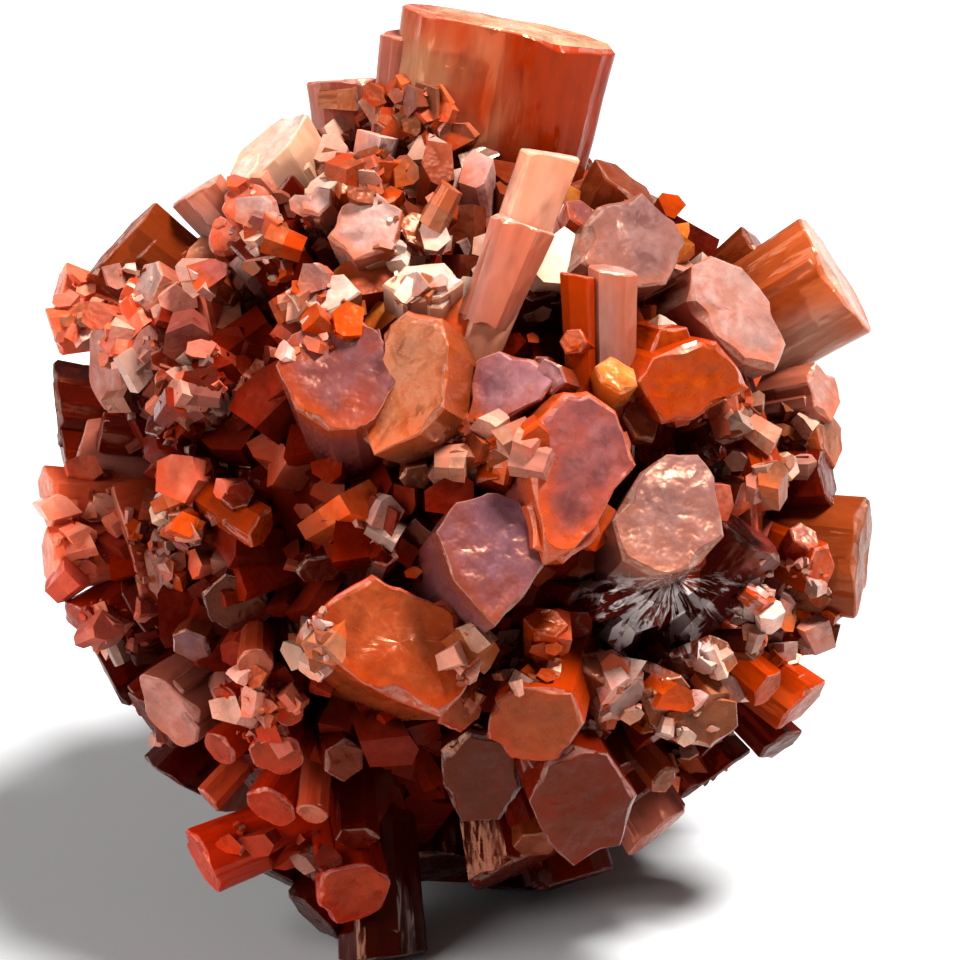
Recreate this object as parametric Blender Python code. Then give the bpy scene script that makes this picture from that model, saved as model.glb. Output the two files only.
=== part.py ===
"""An aragonite star cluster: six-sided prisms that radiate from one middle and have grown into each other.

The frame is in metres with +Z up. The cluster stands on the floor plane z = 0, on the worn flat tips of its
lower crystals, and the origin is the middle of the lowest one's flat tip. Its front faces a viewer on the -Y
side, who looks down at it by VIEW_CLIMB.

The crystals of the front are read in the picture plane of that viewer: right and up from the ball's middle,
in mm. The others are placed by rule on the parts that the viewer doesn't see. All are joined into one solid.
"""

import math
from collections import namedtuple

import bmesh
import bpy
import numpy as np
from mathutils import Matrix, Vector

MM = 0.001

# The viewer, who sees the ball's middle VIEW_OFFSET to the left of the picture's centre.
VIEW_CLIMB = math.radians(22)
VIEW_DISTANCE = 420 * MM
VIEW_OFFSET = 1.75 * MM

# The ball on which the crystals' tips lie, and its middle above the floor.
BALL_RADIUS = 27 * MM
BALL_CENTRE = Vector((0, 0, 29.5 * MM))

# How far the cluster reaches in the picture plane, anticlockwise from the right: degrees, mm.
SKYLINE = [
    (0, 26.0), (20, 24.0), (35, 23.0), (50, 22.8), (65, 24.2), (90, 26.0), (105, 27.5), (120, 27.2),
    (150, 28.0), (180, 27.2), (210, 27.4), (235, 28.0), (250, 28.5), (270, 27.2), (300, 27.6), (320, 27.4),
    (335, 27.4), (360, 26.0),
]

# The massive middle, where the crystals are one body.
HEART_RADIUS = 20.5 * MM
HEART_RELIEF = 1.5 * MM

# A crystal's form: six corners, a little uneven, wider at the tip than at the root.
CORNERS = 6
CORNER_SHIFT = math.radians(7)
CORNER_SWELL = 0.10
ROOT_SHARE = 0.74
RIM_BEVEL = 0.4 * MM
BEVELLED_FROM = 8.0 * MM

# The crystals placed by rule.
BACK_CRYSTALS = 104
BACK_SHARE = (0.86, 1.02)
BACK_ACROSS = (5.2 * MM, 12.5 * MM)
BACK_SLIM = (0.62, 1.0)
BACK_FACING = (0.05, 0.34)
LEAN_BACK = math.radians(13)
CROWN_CRYSTALS = 130
CROWN_FROM = 0.62
CROWN_REACH = (24.0 * MM, 26.6 * MM)
CROWN_ACROSS = (3.8 * MM, 6.2 * MM)
SMALL_CRYSTALS = 40
SMALL_REACH = (23.0 * MM, 25.5 * MM)
SMALL_ACROSS = (2.8 * MM, 5.0 * MM)
LEAN_SMALL = math.radians(28)

# Where the viewer sees a crystal that no crystal placed by rule may cover: right, up, radius in mm.
# The faces of BROAD are kept clear too.
CLEAR = [(5.6, 19.6, 4.2), (3.2, 14.0, 4.2), (10.6, 12.0, 3.6), (-7.0, -1.5, 3.0)]
CLEAR_SHARE = 0.6

# The crystals that carry the cluster: where each one's middle meets the floor, and its width, in mm.
STANDING = [(0, 0, 9.0), (11.5, 6.5, 8.6), (-12.0, 7.0, 9.4), (2.0, 13.0, 7.6)]
STANDING_SINK = 1.0 * MM

STONE_COLOUR = (0.50, 0.16, 0.07, 1.0)
STONE_ROUGHNESS = 0.35

# proud: how far in front of the ball's surface the tip's face lies, in mm.
# heading, tilt: which way the crystal points in the picture, counted from the right, and how far it
# turns away from pointing at the viewer, in degrees.
# face: the corners of the tip's face as the viewer sees them.
Broad = namedtuple("Broad", "proud heading tilt length face")

BROAD = [
    Broad(1.2, 12, 24, 20, [
        (4.8, 3.3), (7.8, 6.4), (9.5, 6.5), (11.5, 5.0), (13.0, 1.1), (11.3, -0.7), (10.0, -3.4),
        (8.3, -5.3), (6.5, -6.2), (5.6, -1.8)]),
    Broad(1.4, 40, 20, 19, [
        (-1.4, -3.5), (0.0, -1.4), (2.2, -0.5), (4.6, -1.4), (5.3, -2.5), (6.3, -4.0), (6.4, -6.0),
        (4.9, -8.2), (2.8, -10.4), (1.6, -9.1), (-0.2, -7.0)]),
    Broad(2.2, 30, 14, 20, [
        (-8.3, -7.9), (-5.8, -6.4), (-2.2, -8.2), (1.2, -9.7), (1.5, -10.9), (1.3, -14.4), (-0.8, -16.7),
        (-4.1, -15.4), (-6.4, -14.4), (-9.5, -12.0), (-9.7, -9.1)]),
    Broad(2.0, 98, 24, 19, [
        (-12.7, 8.1), (-11.6, 10.3), (-9.5, 11.8), (-7.5, 12.2), (-5.6, 10.9), (-4.4, 9.0), (-3.9, 7.0),
        (-4.9, 5.3), (-6.0, 3.5), (-8.8, 3.4), (-11.2, 4.9)]),
    Broad(1.6, 150, 24, 19, [
        (-5.4, 10.5), (-3.6, 12.3), (-1.1, 11.6), (-0.4, 9.5), (-0.8, 5.0), (-2.5, 3.1), (-5.7, 1.7),
        (-6.4, 3.5), (-5.4, 6.3)]),
    Broad(-1.6, 165, 18, 14, [
        (1.2, 8.4), (2.8, 9.3), (5.3, 8.5), (7.1, 7.4), (6.0, 5.6), (4.6, 4.8), (2.8, 3.5), (1.0, 3.9)]),
    Broad(1.6, -20, 28, 16, [
        (12.7, 6.8), (13.8, 8.5), (15.8, 9.3), (17.6, 9.9), (18.7, 9.7), (21.3, 6.3), (16.8, 4.1),
        (14.6, 3.8)]),
    Broad(0.4, 50, 24, 18, [
        (13.0, 0.7), (14.9, 2.0), (17.2, 2.0), (18.4, 0.4), (19.0, -3.9), (17.5, -5.6), (15.8, -6.7),
        (13.7, -6.7), (11.7, -5.6), (10.9, -2.8)]),
    Broad(0.4, 38, 42, 18, [
        (10.2, 19.3), (13.3, 20.4), (15.6, 18.3), (16.3, 16.6), (14.9, 13.7), (11.6, 13.3), (8.8, 15.1),
        (9.1, 17.9)]),
    Broad(0.2, 25, 38, 16, [
        (16.5, 15.0), (18.0, 15.9), (20.3, 15.1), (22.4, 12.6), (23.5, 9.5), (22.8, 7.6), (20.3, 8.1),
        (18.2, 9.9), (16.3, 12.6)]),
    Broad(6.0, -65, 35, 20, [
        (6.3, -19.7), (8.4, -18.6), (10.7, -19.0), (13.0, -22.4), (11.7, -25.9), (8.4, -27.4),
        (6.5, -25.9), (5.1, -22.4)]),
    Broad(1.0, -108, 42, 16, [
        (2.5, -15.4), (4.6, -14.7), (8.1, -15.4), (9.0, -17.5), (7.4, -19.6), (3.9, -19.5),
        (2.2, -17.9)]),
    Broad(2.0, -25, 28, 16, [
        (13.0, -14.7), (14.9, -14.3), (19.6, -15.4), (19.8, -17.2), (18.2, -19.0), (15.8, -18.6),
        (13.7, -17.2)]),
    Broad(-2.6, -95, 40, 15, [
        (-1.1, -19.3), (1.0, -17.9), (4.2, -18.6), (4.9, -21.7), (3.2, -23.9), (0.4, -23.9),
        (-0.9, -21.7)]),
    Broad(0.5, 216, 48, 14, [
        (-22.1, -13.3), (-20.3, -14.0), (-18.2, -16.5), (-18.2, -18.6), (-19.4, -19.0), (-21.5, -16.5)]),
]

# right, up: the middle of the tip's face as the viewer sees it.
# across, slim: the broad width in mm, and the narrow width as a share of it.
# lie: the picture angle of the broad width in degrees, or None where it is square to the heading.
Crystal = namedtuple("Crystal", "right up proud heading tilt across slim lie length")

FRONT = [
    # the large prisms on the outline, from the top round to the right
    Crystal(3.6, 32.0, 2.0, 79, 80, 16.9, 0.62, None, 34),
    Crystal(-3.8, 31.3, 2.4, 84, 79, 2.8, 0.85, None, 19),
    Crystal(6.6, 22.9, 9.0, 70, 88, 4.9, 0.60, None, 15),
    Crystal(12.0, 20.9, -4.0, 60, 65, 5.5, 0.80, None, 15),
    Crystal(26.8, 14.4, 0.0, 31, 80, 10.6, 0.80, None, 28),
    Crystal(28.6, -5.2, 3.0, -6, 74, 8.8, 0.60, None, 24),
    Crystal(21.6, 16.0, -4.0, 40, 80, 4.6, 0.80, None, 16),
    Crystal(26.2, 0.2, -3.5, 2, 78, 4.6, 0.85, None, 15),
    # the small ones between them
    Crystal(8.9, 18.7, 0.0, 60, 30, 2.9, 0.90, None, 9),
    Crystal(6.1, 13.7, -5.0, 100, 45, 3.4, 0.90, None, 10),
    Crystal(11.0, 14.8, 1.6, 90, 84, 3.4, 0.80, None, 13),
    Crystal(8.5, 14.4, 0.8, 92, 84, 2.6, 0.80, None, 12),
    Crystal(8.2, 9.7, -1.0, 150, 25, 2.1, 1.00, None, 8),
    Crystal(11.3, 7.4, 0.0, 60, 30, 3.2, 0.85, None, 9),
    Crystal(15.4, 10.3, -1.0, 30, 40, 3.3, 0.70, None, 9),
    Crystal(25.9, 6.2, -2.0, 10, 60, 4.2, 0.85, None, 13),
    Crystal(26.4, 2.9, -3.0, 0, 68, 4.2, 0.85, None, 13),
    Crystal(20.6, 4.2, -1.0, 20, 50, 2.8, 0.80, None, 9),
    Crystal(21.9, -0.7, 1.0, -75, 55, 3.1, 0.80, None, 13),
    Crystal(23.5, 1.0, 0.0, 10, 40, 2.0, 0.90, None, 11),
    Crystal(25.7, -6.3, 4.0, -25, 42, 4.2, 0.75, None, 14),
    Crystal(24.5, -3.9, -1.0, 60, 30, 2.5, 0.85, None, 12),
    Crystal(26.6, -9.7, 2.0, -50, 60, 2.2, 0.90, None, 13),
    Crystal(21.7, -8.4, 0.0, -20, 40, 2.6, 0.60, 30, 11),
    Crystal(25.4, -11.2, 1.0, -40, 62, 3.2, 0.90, None, 13),
    Crystal(18.6, -12.3, 0.0, 20, 35, 3.0, 0.90, None, 12),
    Crystal(21.1, -11.6, 0.0, 0, 45, 2.4, 0.80, None, 11),
    Crystal(24.5, -15.7, 4.0, -35, 58, 5.0, 0.80, None, 16),
    Crystal(22.0, -14.7, 3.0, -40, 50, 3.0, 0.80, None, 12),
    Crystal(22.8, -18.6, 0.0, -45, 70, 3.8, 0.80, None, 14),
    # round the broad faces
    Crystal(20.5, -3.6, -3.0, 50, 60, 6.4, 0.80, None, 17),
    Crystal(12.4, -8.9, -3.0, -120, 50, 5.5, 0.75, None, 14),
    Crystal(13.1, 4.2, -2.5, 30, 35, 3.6, 0.90, None, 12),
    Crystal(0.5, -16.2, -2.5, -60, 35, 3.8, 0.90, None, 12),
    Crystal(2.8, 1.5, -2.0, 140, 40, 4.4, 0.70, None, 13),
    Crystal(0.1, 0.3, -3.0, -90, 25, 3.9, 0.90, None, 12),
    Crystal(-2.7, 0.1, -4.0, -90, 35, 2.7, 0.90, None, 10),
    Crystal(-6.5, -1.4, -7.0, -42, 72, 1.6, 0.70, None, 10),
    Crystal(-7.1, -2.4, -4.0, 60, 25, 1.9, 0.90, None, 8),
    Crystal(-5.3, -3.0, -3.5, 80, 30, 1.5, 0.90, None, 8),
    Crystal(-2.7, -4.8, -4.0, -100, 30, 4.4, 0.75, 90, 11),
    Crystal(-4.9, -5.2, -3.0, 70, 25, 2.0, 0.90, None, 8),
    Crystal(-9.5, -6.3, -5.0, -90, 30, 3.8, 0.60, 0, 8),
    # below the middle
    Crystal(6.4, -9.9, -2.0, 90, 45, 3.2, 0.85, None, 12),
    Crystal(8.4, -18.6, -1.0, -70, 45, 6.2, 0.60, None, 14),
    Crystal(11.7, -15.4, -1.0, -50, 45, 4.6, 0.85, None, 13),
    Crystal(10.5, -13.0, -2.0, 60, 35, 3.8, 0.85, None, 12),
    Crystal(14.7, -21.1, 4.0, -50, 50, 2.6, 0.90, None, 14),
    Crystal(14.1, -24.8, 2.0, -58, 66, 5.6, 0.80, None, 18),
    Crystal(4.2, -28.5, -8.0, -88, 82, 7.8, 0.60, None, 17),
    Crystal(5.7, -25.6, -1.0, -85, 62, 3.6, 0.85, None, 14),
    Crystal(8.2, -28.1, -4.0, -76, 80, 6.0, 0.80, None, 17),
    Crystal(18.4, -20.6, -3.0, -48, 78, 6.0, 0.80, None, 16),
    Crystal(-1.2, -27.2, -3.0, -94, 74, 5.8, 0.85, None, 16),
    # the upper left
    Crystal(-8.0, 28.0, -2.0, 95, 72, 5.2, 0.80, None, 16),
    Crystal(-13.1, 23.5, 0.0, 122, 72, 7.4, 0.80, None, 17),
    Crystal(-14.7, 19.6, 2.0, 120, 38, 4.0, 0.90, None, 12),
    Crystal(-5.1, 21.2, 0.0, 60, 24, 4.3, 0.90, None, 12),
    Crystal(-2.6, 17.6, -2.0, 80, 25, 3.2, 0.90, None, 10),
    Crystal(-0.6, 19.3, -1.5, 45, 45, 2.6, 0.90, None, 10),
    Crystal(-6.1, 17.9, 0.0, 110, 30, 5.6, 0.90, None, 13),
    Crystal(-9.7, 19.6, 0.0, 130, 30, 2.6, 0.90, None, 10),
    Crystal(-12.6, 18.6, 1.0, 60, 62, 1.7, 0.80, None, 9),
    Crystal(-17.6, 14.4, 1.0, 140, 32, 2.6, 0.90, None, 11),
    Crystal(-9.5, 13.1, 0.0, 100, 32, 5.6, 0.68, -10, 13),
    Crystal(-2.3, 13.9, -1.0, 90, 38, 6.4, 0.60, -5, 14),
    Crystal(1.6, 13.2, -3.0, 80, 35, 4.4, 0.70, None, 12),
    Crystal(-23.6, 16.7, -1.0, 143, 80, 7.2, 0.55, None, 16),
    Crystal(-18.1, 20.4, -1.0, 131, 74, 4.6, 0.80, None, 14),
    Crystal(-27.7, 13.6, -2.0, 160, 78, 3.4, 0.80, None, 16),
    Crystal(-28.2, 10.4, 1.0, 187, 72, 3.8, 0.80, None, 17),
    Crystal(-21.6, 13.6, 0.0, 150, 50, 4.4, 0.80, None, 13),
    Crystal(-20.3, 12.5, 0.0, 160, 35, 3.6, 0.80, None, 12),
    Crystal(-27.9, 5.6, -3.0, 171, 80, 5.6, 0.80, None, 16),
    Crystal(-27.5, 2.2, -3.5, 176, 80, 4.4, 0.80, None, 15),
    Crystal(-24.4, 8.7, -1.0, 168, 60, 7.4, 0.70, None, 15),
    Crystal(-22.0, 9.1, -2.0, 165, 62, 4.4, 0.80, None, 13),
    Crystal(-18.6, 7.3, 0.0, 150, 30, 6.0, 0.85, None, 14),
    # the lower left
    Crystal(-28.6, -1.4, 3.0, 178, 70, 4.8, 0.85, None, 16),
    Crystal(-28.4, -5.7, 4.0, 190, 66, 4.8, 0.85, None, 16),
    Crystal(-26.1, -10.1, 4.0, 212, 60, 4.6, 0.80, None, 15),
    Crystal(-24.6, -13.2, -3.0, 208, 80, 6.4, 0.80, None, 16),
    Crystal(-19.8, -20.8, -3.0, 226, 80, 5.4, 0.80, None, 16),
    Crystal(-20.8, -6.3, -4.0, 195, 55, 5.8, 0.85, None, 14),
    Crystal(-20.8, -1.8, -2.0, 150, 40, 2.6, 0.90, None, 10),
    Crystal(-18.9, -3.5, -2.0, 230, 30, 3.3, 0.85, None, 11),
    Crystal(-13.5, -3.5, -2.5, -30, 45, 3.2, 0.80, None, 11),
    Crystal(-15.2, -1.0, -2.5, 100, 25, 2.6, 0.90, None, 10),
    Crystal(-15.3, -8.7, -4.0, -110, 35, 5.8, 0.85, None, 12),
    Crystal(-18.6, -11.6, -1.0, -120, 35, 3.2, 0.90, None, 12),
    Crystal(-14.1, -13.0, 0.0, -90, 30, 3.0, 0.90, None, 11),
    Crystal(-15.9, -15.4, 0.0, 200, 40, 2.4, 0.90, None, 11),
    Crystal(-13.5, -15.8, 0.0, 250, 25, 3.2, 0.90, None, 11),
    Crystal(-11.7, -16.2, -1.0, 300, 30, 2.6, 0.90, None, 10),
    Crystal(-12.5, -19.3, 0.0, 250, 28, 4.2, 0.90, None, 12),
    Crystal(-16.6, -18.9, 0.0, 218, 58, 3.4, 0.85, None, 12),
    Crystal(-17.3, -22.4, 6.0, 228, 64, 2.4, 0.80, None, 15),
    Crystal(-12.8, -23.0, 5.0, 240, 38, 4.4, 0.90, None, 15),
    Crystal(-10.0, -23.5, 3.0, 265, 55, 2.8, 0.80, None, 12),
    Crystal(-7.7, -19.6, -2.0, 300, 28, 3.3, 0.90, None, 11),
    Crystal(-17.9, -26.5, 6.0, 200, 68, 5.6, 0.90, None, 19),
    Crystal(-7.2, -29.0, 8.0, -78, 38, 5.6, 0.95, None, 18),
    Crystal(-6.9, -25.2, 2.0, -85, 60, 3.2, 0.80, None, 13),
    Crystal(-10.0, -30.6, 3.0, 236, 76, 5.0, 0.85, None, 17),
    Crystal(-12.6, -27.8, 1.0, 244, 80, 4.4, 0.85, None, 16),
    Crystal(-5.2, -33.6, 3.6, -87, 80, 6.6, 0.90, None, 20),
    # a short one on the lower half of the pale slab
    Crystal(4.9, 18.0, 2.4, 69, 87, 5.1, 0.66, None, 7),
]

# A prism in space: the middle of its tip's face, the way it points, the corners of that face from its
# middle, and its length.
Prism = namedtuple("Prism", "tip axis rim length")

RIGHT = Vector((1, 0, 0))
UP = Vector((0, math.sin(VIEW_CLIMB), math.cos(VIEW_CLIMB)))
TOWARD = Vector((0, -math.cos(VIEW_CLIMB), math.sin(VIEW_CLIMB)))


def clear_scene():
    for obj in list(bpy.data.objects):
        bpy.data.objects.remove(obj, do_unlink=True)


def in_space(right, up, toward):
    """A vector of the viewer's directions as a vector of the object's frame."""
    return RIGHT * right + UP * up + TOWARD * toward


def seen_place(right, up, proud):
    """The point that the viewer sees at (right, up), and its scale. What lies nearer looks larger."""
    toward = math.sqrt(max(0.0, BALL_RADIUS**2 - right**2 - up**2)) + proud
    nearer = 1 - toward / VIEW_DISTANCE
    right = VIEW_OFFSET + (right - VIEW_OFFSET) * nearer
    return BALL_CENTRE + in_space(right, up * nearer, toward), nearer


def seen_axis(heading, tilt):
    heading, tilt = math.radians(heading), math.radians(tilt)
    return in_space(math.cos(heading) * math.sin(tilt), math.sin(heading) * math.sin(tilt), math.cos(tilt))


def six_corners(random, axis, broad, across, slim):
    """An uneven hexagon square to an axis, as vectors from its middle."""
    narrow = axis.cross(broad)
    turn = 2 * math.pi * np.arange(CORNERS) / CORNERS
    turn = turn + random.uniform(-CORNER_SHIFT, CORNER_SHIFT, CORNERS)
    swell = across / 2 * (1 + random.uniform(-CORNER_SWELL, CORNER_SWELL, CORNERS))
    return [broad * (s * math.cos(t)) + narrow * (s * slim * math.sin(t)) for s, t in zip(swell, turn)]


def broad_prism(row):
    """The prism of one line of BROAD. Its tip's face is square to it, so each corner is slid along the
    line of sight onto that plane."""
    middle = [sum(corner[i] for corner in row.face) / len(row.face) * MM for i in range(2)]
    tip, nearer = seen_place(*middle, row.proud * MM)
    axis = seen_axis(row.heading, row.tilt)
    rim = []
    for corner in row.face:
        offset = in_space((corner[0] * MM - middle[0]) * nearer, (corner[1] * MM - middle[1]) * nearer, 0)
        rim.append(offset - TOWARD * (offset.dot(axis) / TOWARD.dot(axis)))
    return Prism(tip, axis, rim, row.length * MM)


def front_prism(random, row):
    """The prism of one line of FRONT."""
    tip, nearer = seen_place(row.right * MM, row.up * MM, row.proud * MM)
    axis = seen_axis(row.heading, row.tilt)
    heading = math.radians(row.heading)
    broad = in_space(-math.sin(heading), math.cos(heading), 0)
    if row.lie is not None:
        broad = Matrix.Rotation(math.radians(row.lie - row.heading - 90), 3, axis) @ broad
    rim = six_corners(random, axis, broad, row.across * MM * nearer, row.slim)
    return Prism(tip, axis, rim, row.length * MM)


def spiral(count):
    """Evenly spread directions, as the seeds of a sunflower lie on a ball."""
    golden = math.pi * (3 - math.sqrt(5))
    for i in range(count):
        height = 1 - 2 * (i + 0.5) / count
        ring = math.sqrt(1 - height * height)
        yield Vector((ring * math.cos(golden * i), ring * math.sin(golden * i), height))


def skyline_reach(way, half):
    """How far along a direction from the ball's middle a crystal may reach. Near the outline that the
    viewer sees, its tip with half its width stays inside the skyline."""
    right, up, toward = way.dot(RIGHT), way.dot(UP), way.dot(TOWARD)
    angle = math.degrees(math.atan2(up, right)) % 360
    skyline = np.interp(angle, [a for a, _ in SKYLINE], [r for _, r in SKYLINE]) * MM
    aside = math.hypot(right, up)
    return min(28.5 * MM, max(0.0, skyline - half * abs(toward)) / max(aside, 0.05))


def covers(way, reach, half):
    """Whether a crystal placed by rule would stand before what the viewer has to see."""
    right, up = way.dot(RIGHT) * reach / MM, way.dot(UP) * reach / MM
    if way.dot(TOWARD) < 0:
        return False
    spots = list(CLEAR)
    for row in BROAD:
        x, y = (sum(corner[i] for corner in row.face) / len(row.face) for i in range(2))
        spots.append((x, y, max(math.hypot(a - x, b - y) for a, b in row.face)))
    return any(math.hypot(right - x, up - y) < radius + CLEAR_SHARE * half / MM for x, y, radius in spots)


def leaning_prism(random, way, reach, across, slim, lean):
    """A prism along a direction from the ball's middle, leaning a little to one side of it."""
    side = Matrix.Rotation(random.uniform(0, 2 * math.pi), 3, way) @ way.orthogonal().normalized()
    axis = Matrix.Rotation(random.uniform(0, lean), 3, side) @ way
    broad = Matrix.Rotation(random.uniform(0, math.pi), 3, axis) @ axis.orthogonal().normalized()
    rim = six_corners(random, axis, broad, across, slim)
    return Prism(BALL_CENTRE + way * reach, axis, rim, reach * 0.85)


def back_prisms():
    """The crystals that the viewer doesn't see: the back, the far halves of the sides and the underside."""
    random = np.random.default_rng(11)
    prisms = []
    for way in spiral(BACK_CRYSTALS):
        across = BACK_ACROSS[0] + (BACK_ACROSS[1] - BACK_ACROSS[0]) * random.random() ** 1.5
        reach = skyline_reach(way, across / 2) * random.uniform(*BACK_SHARE)
        prism = leaning_prism(random, way, reach, across, random.uniform(*BACK_SLIM), LEAN_BACK)
        if way.dot(TOWARD) < random.uniform(*BACK_FACING):
            prisms.append(prism)
    return prisms


def standing_prisms():
    """The crystals on which the cluster stands, sunk into the floor plane by what is worn off them."""
    random = np.random.default_rng(8)
    prisms = []
    for x, y, across in STANDING:
        tip = Vector((x * MM, y * MM, -STANDING_SINK))
        way = tip - BALL_CENTRE
        axis = way.normalized()
        rim = six_corners(random, axis, axis.orthogonal().normalized(), across * MM, 0.85)
        prisms.append(Prism(tip, axis, rim, way.length * 0.85))
    return prisms


def crown_prisms():
    """The crystals of the crown, which the viewer sees only slantwise."""
    random = np.random.default_rng(21)
    prisms = []
    for way in spiral(CROWN_CRYSTALS):
        if way.z > CROWN_FROM and way.dot(TOWARD) > BACK_FACING[1]:
            across = random.uniform(*CROWN_ACROSS)
            reach = random.uniform(*CROWN_REACH)
            prism = leaning_prism(random, way, reach, across, random.uniform(0.7, 1.0), LEAN_BACK)
            if not covers(way, reach, across / 2):
                prisms.append(prism)
    return prisms


def small_prisms():
    """The short crystals that fill the gaps between the large ones, all round."""
    random = np.random.default_rng(5)
    prisms = []
    for way in spiral(SMALL_CRYSTALS):
        across = random.uniform(*SMALL_ACROSS)
        reach = min(random.uniform(*SMALL_REACH), skyline_reach(way, across / 2))
        prism = leaning_prism(random, way, reach, across, random.uniform(0.7, 1.0), LEAN_SMALL)
        if not covers(way, reach, across / 2):
            prisms.append(prism)
    return prisms


def all_prisms():
    return (
        [broad_prism(row) for row in BROAD]
        + [front_prism(np.random.default_rng(number), row) for number, row in enumerate(FRONT)]
        + back_prisms()
        + standing_prisms()
        + crown_prisms()
        + small_prisms()
    )


def crystal_mesh(prism):
    """A closed prism from its root to its tip. The root is narrower, and a large one's rim is bevelled."""
    bevel = RIM_BEVEL if max(corner.length for corner in prism.rim) * 2 >= BEVELLED_FROM else 0.0
    rings = [(-prism.length, [corner * ROOT_SHARE for corner in prism.rim]), (-bevel, prism.rim)]
    if bevel:
        rings.append((0.0, [corner * (1 - bevel / corner.length) for corner in prism.rim]))
    mesh = bmesh.new()
    loops = [
        [mesh.verts.new(prism.tip + prism.axis * along + corner) for corner in ring]
        for along, ring in rings
    ]
    for low, high in zip(loops, loops[1:]):
        for i in range(len(low)):
            j = (i + 1) % len(low)
            mesh.faces.new((low[i], low[j], high[j], high[i]))
    mesh.faces.new(loops[-1])
    mesh.faces.new(reversed(loops[0]))
    bmesh.ops.recalc_face_normals(mesh, faces=mesh.faces)
    return mesh


def heart_mesh():
    """A lumpy ball, which shows only at the bottom of the gaps between the crystals."""
    mesh = bmesh.new()
    bmesh.ops.create_icosphere(mesh, subdivisions=2, radius=HEART_RADIUS)
    random = np.random.default_rng(3)
    for vert in mesh.verts:
        vert.co += vert.co.normalized() * random.uniform(-HEART_RELIEF, HEART_RELIEF)
        vert.co += BALL_CENTRE
    return mesh


def block_mesh(low, high):
    mesh = bmesh.new()
    bmesh.ops.create_cube(mesh, size=1)
    for vert in mesh.verts:
        vert.co = Vector(low[i] if vert.co[i] < 0 else high[i] for i in range(3))
    return mesh


def as_object(name, mesh, collection, helper=False):
    data = bpy.data.meshes.new(name)
    mesh.to_mesh(data)
    mesh.free()
    obj = bpy.data.objects.new(name, data)
    collection.objects.link(obj)
    if helper:
        obj.hide_render = True
        obj.display_type = "WIRE"
    return obj


def shells(mesh):
    """The separate closed surfaces of a mesh, each as its list of faces."""
    left = set(mesh.faces)
    while left:
        shell = [left.pop()]
        for face in shell:
            near = {other for side in face.edges for other in side.link_faces} & left
            left -= near
            shell.extend(near)
        yield shell


def keep_outside(obj):
    """Turn an object's modifiers into plain faces, and fill the pockets that the crystals close off inside."""
    data = bpy.data.meshes.new_from_object(obj.evaluated_get(bpy.context.evaluated_depsgraph_get()))
    mesh = bmesh.new()
    mesh.from_mesh(data)
    pockets = sorted(shells(mesh), key=len)[:-1]
    bmesh.ops.delete(mesh, geom=[face for shell in pockets for face in shell], context="FACES")
    mesh.to_mesh(data)
    mesh.free()
    obj.modifiers.clear()
    obj.data = data


def stone_material():
    material = bpy.data.materials.new("aragonite")
    material.use_nodes = True
    shader = material.node_tree.nodes["Principled BSDF"]
    shader.inputs["Base Color"].default_value = STONE_COLOUR
    shader.inputs["Roughness"].default_value = STONE_ROUGHNESS
    shader.inputs["Metallic"].default_value = 0.0
    return material


def main():
    clear_scene()
    scene = bpy.context.scene.collection
    growth = bpy.data.collections.new("crystals")
    scene.children.link(growth)
    for number, prism in enumerate(all_prisms()):
        as_object(f"crystal_{number:03d}", crystal_mesh(prism), growth, helper=True)

    cluster = as_object("aragonite_cluster", heart_mesh(), scene)
    cluster.data.materials.append(stone_material())
    grown = cluster.modifiers.new("grown together", "BOOLEAN")
    grown.operation = "UNION"
    grown.operand_type = "COLLECTION"
    grown.collection = growth
    reach = 3 * BALL_RADIUS
    floor = as_object("floor_cutter", block_mesh((-reach, -reach, -reach), (reach, reach, 0)), scene, helper=True)
    rest = cluster.modifiers.new("worn flat where it rests", "BOOLEAN")
    rest.operation = "DIFFERENCE"
    rest.object = floor
    keep_outside(cluster)
    for helper in [*growth.objects, floor]:
        bpy.data.objects.remove(helper, do_unlink=True)


main()
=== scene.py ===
"""An aragonite star cluster: prisms with frosted ends and clear orange sides, small crystals in the gaps
between them, and crumbs on them.

Everything is in metres in the part's frame. Sizes in the lists are in mm, read in the picture plane of the
viewer: right and up from the ball's middle. A crystal is a surface on a grid: round it by up it.
"""

import math
from collections import namedtuple

import bpy
import numpy as np
from mathutils import Matrix, Vector


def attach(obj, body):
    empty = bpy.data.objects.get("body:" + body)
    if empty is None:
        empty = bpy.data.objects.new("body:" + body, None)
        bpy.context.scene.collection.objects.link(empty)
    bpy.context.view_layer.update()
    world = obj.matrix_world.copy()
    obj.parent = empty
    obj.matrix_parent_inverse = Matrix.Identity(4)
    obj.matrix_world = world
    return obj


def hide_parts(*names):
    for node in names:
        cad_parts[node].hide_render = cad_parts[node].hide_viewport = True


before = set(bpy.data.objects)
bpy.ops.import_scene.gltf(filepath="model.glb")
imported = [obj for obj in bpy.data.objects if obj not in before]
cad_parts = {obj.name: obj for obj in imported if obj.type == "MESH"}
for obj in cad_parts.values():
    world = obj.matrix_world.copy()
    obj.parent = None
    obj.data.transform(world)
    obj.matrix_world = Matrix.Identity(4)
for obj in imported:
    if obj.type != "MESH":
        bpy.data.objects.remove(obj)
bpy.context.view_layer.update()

MM = 0.001

# The viewer, who sees the ball's middle VIEW_OFFSET to the left of the picture's centre.
VIEW_CLIMB = math.radians(22)
VIEW_DISTANCE = 420 * MM
VIEW_OFFSET = 1.75 * MM
VIEW_LENS = 225

# The ball on which the crystals' tips lie, and its middle above the floor.
BALL_RADIUS = 27 * MM
BALL_CENTRE = Vector((0, 0, 29.5 * MM))

# How far any crystal placed by rule reaches from the middle.
FARTHEST = 28.5 * MM

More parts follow.
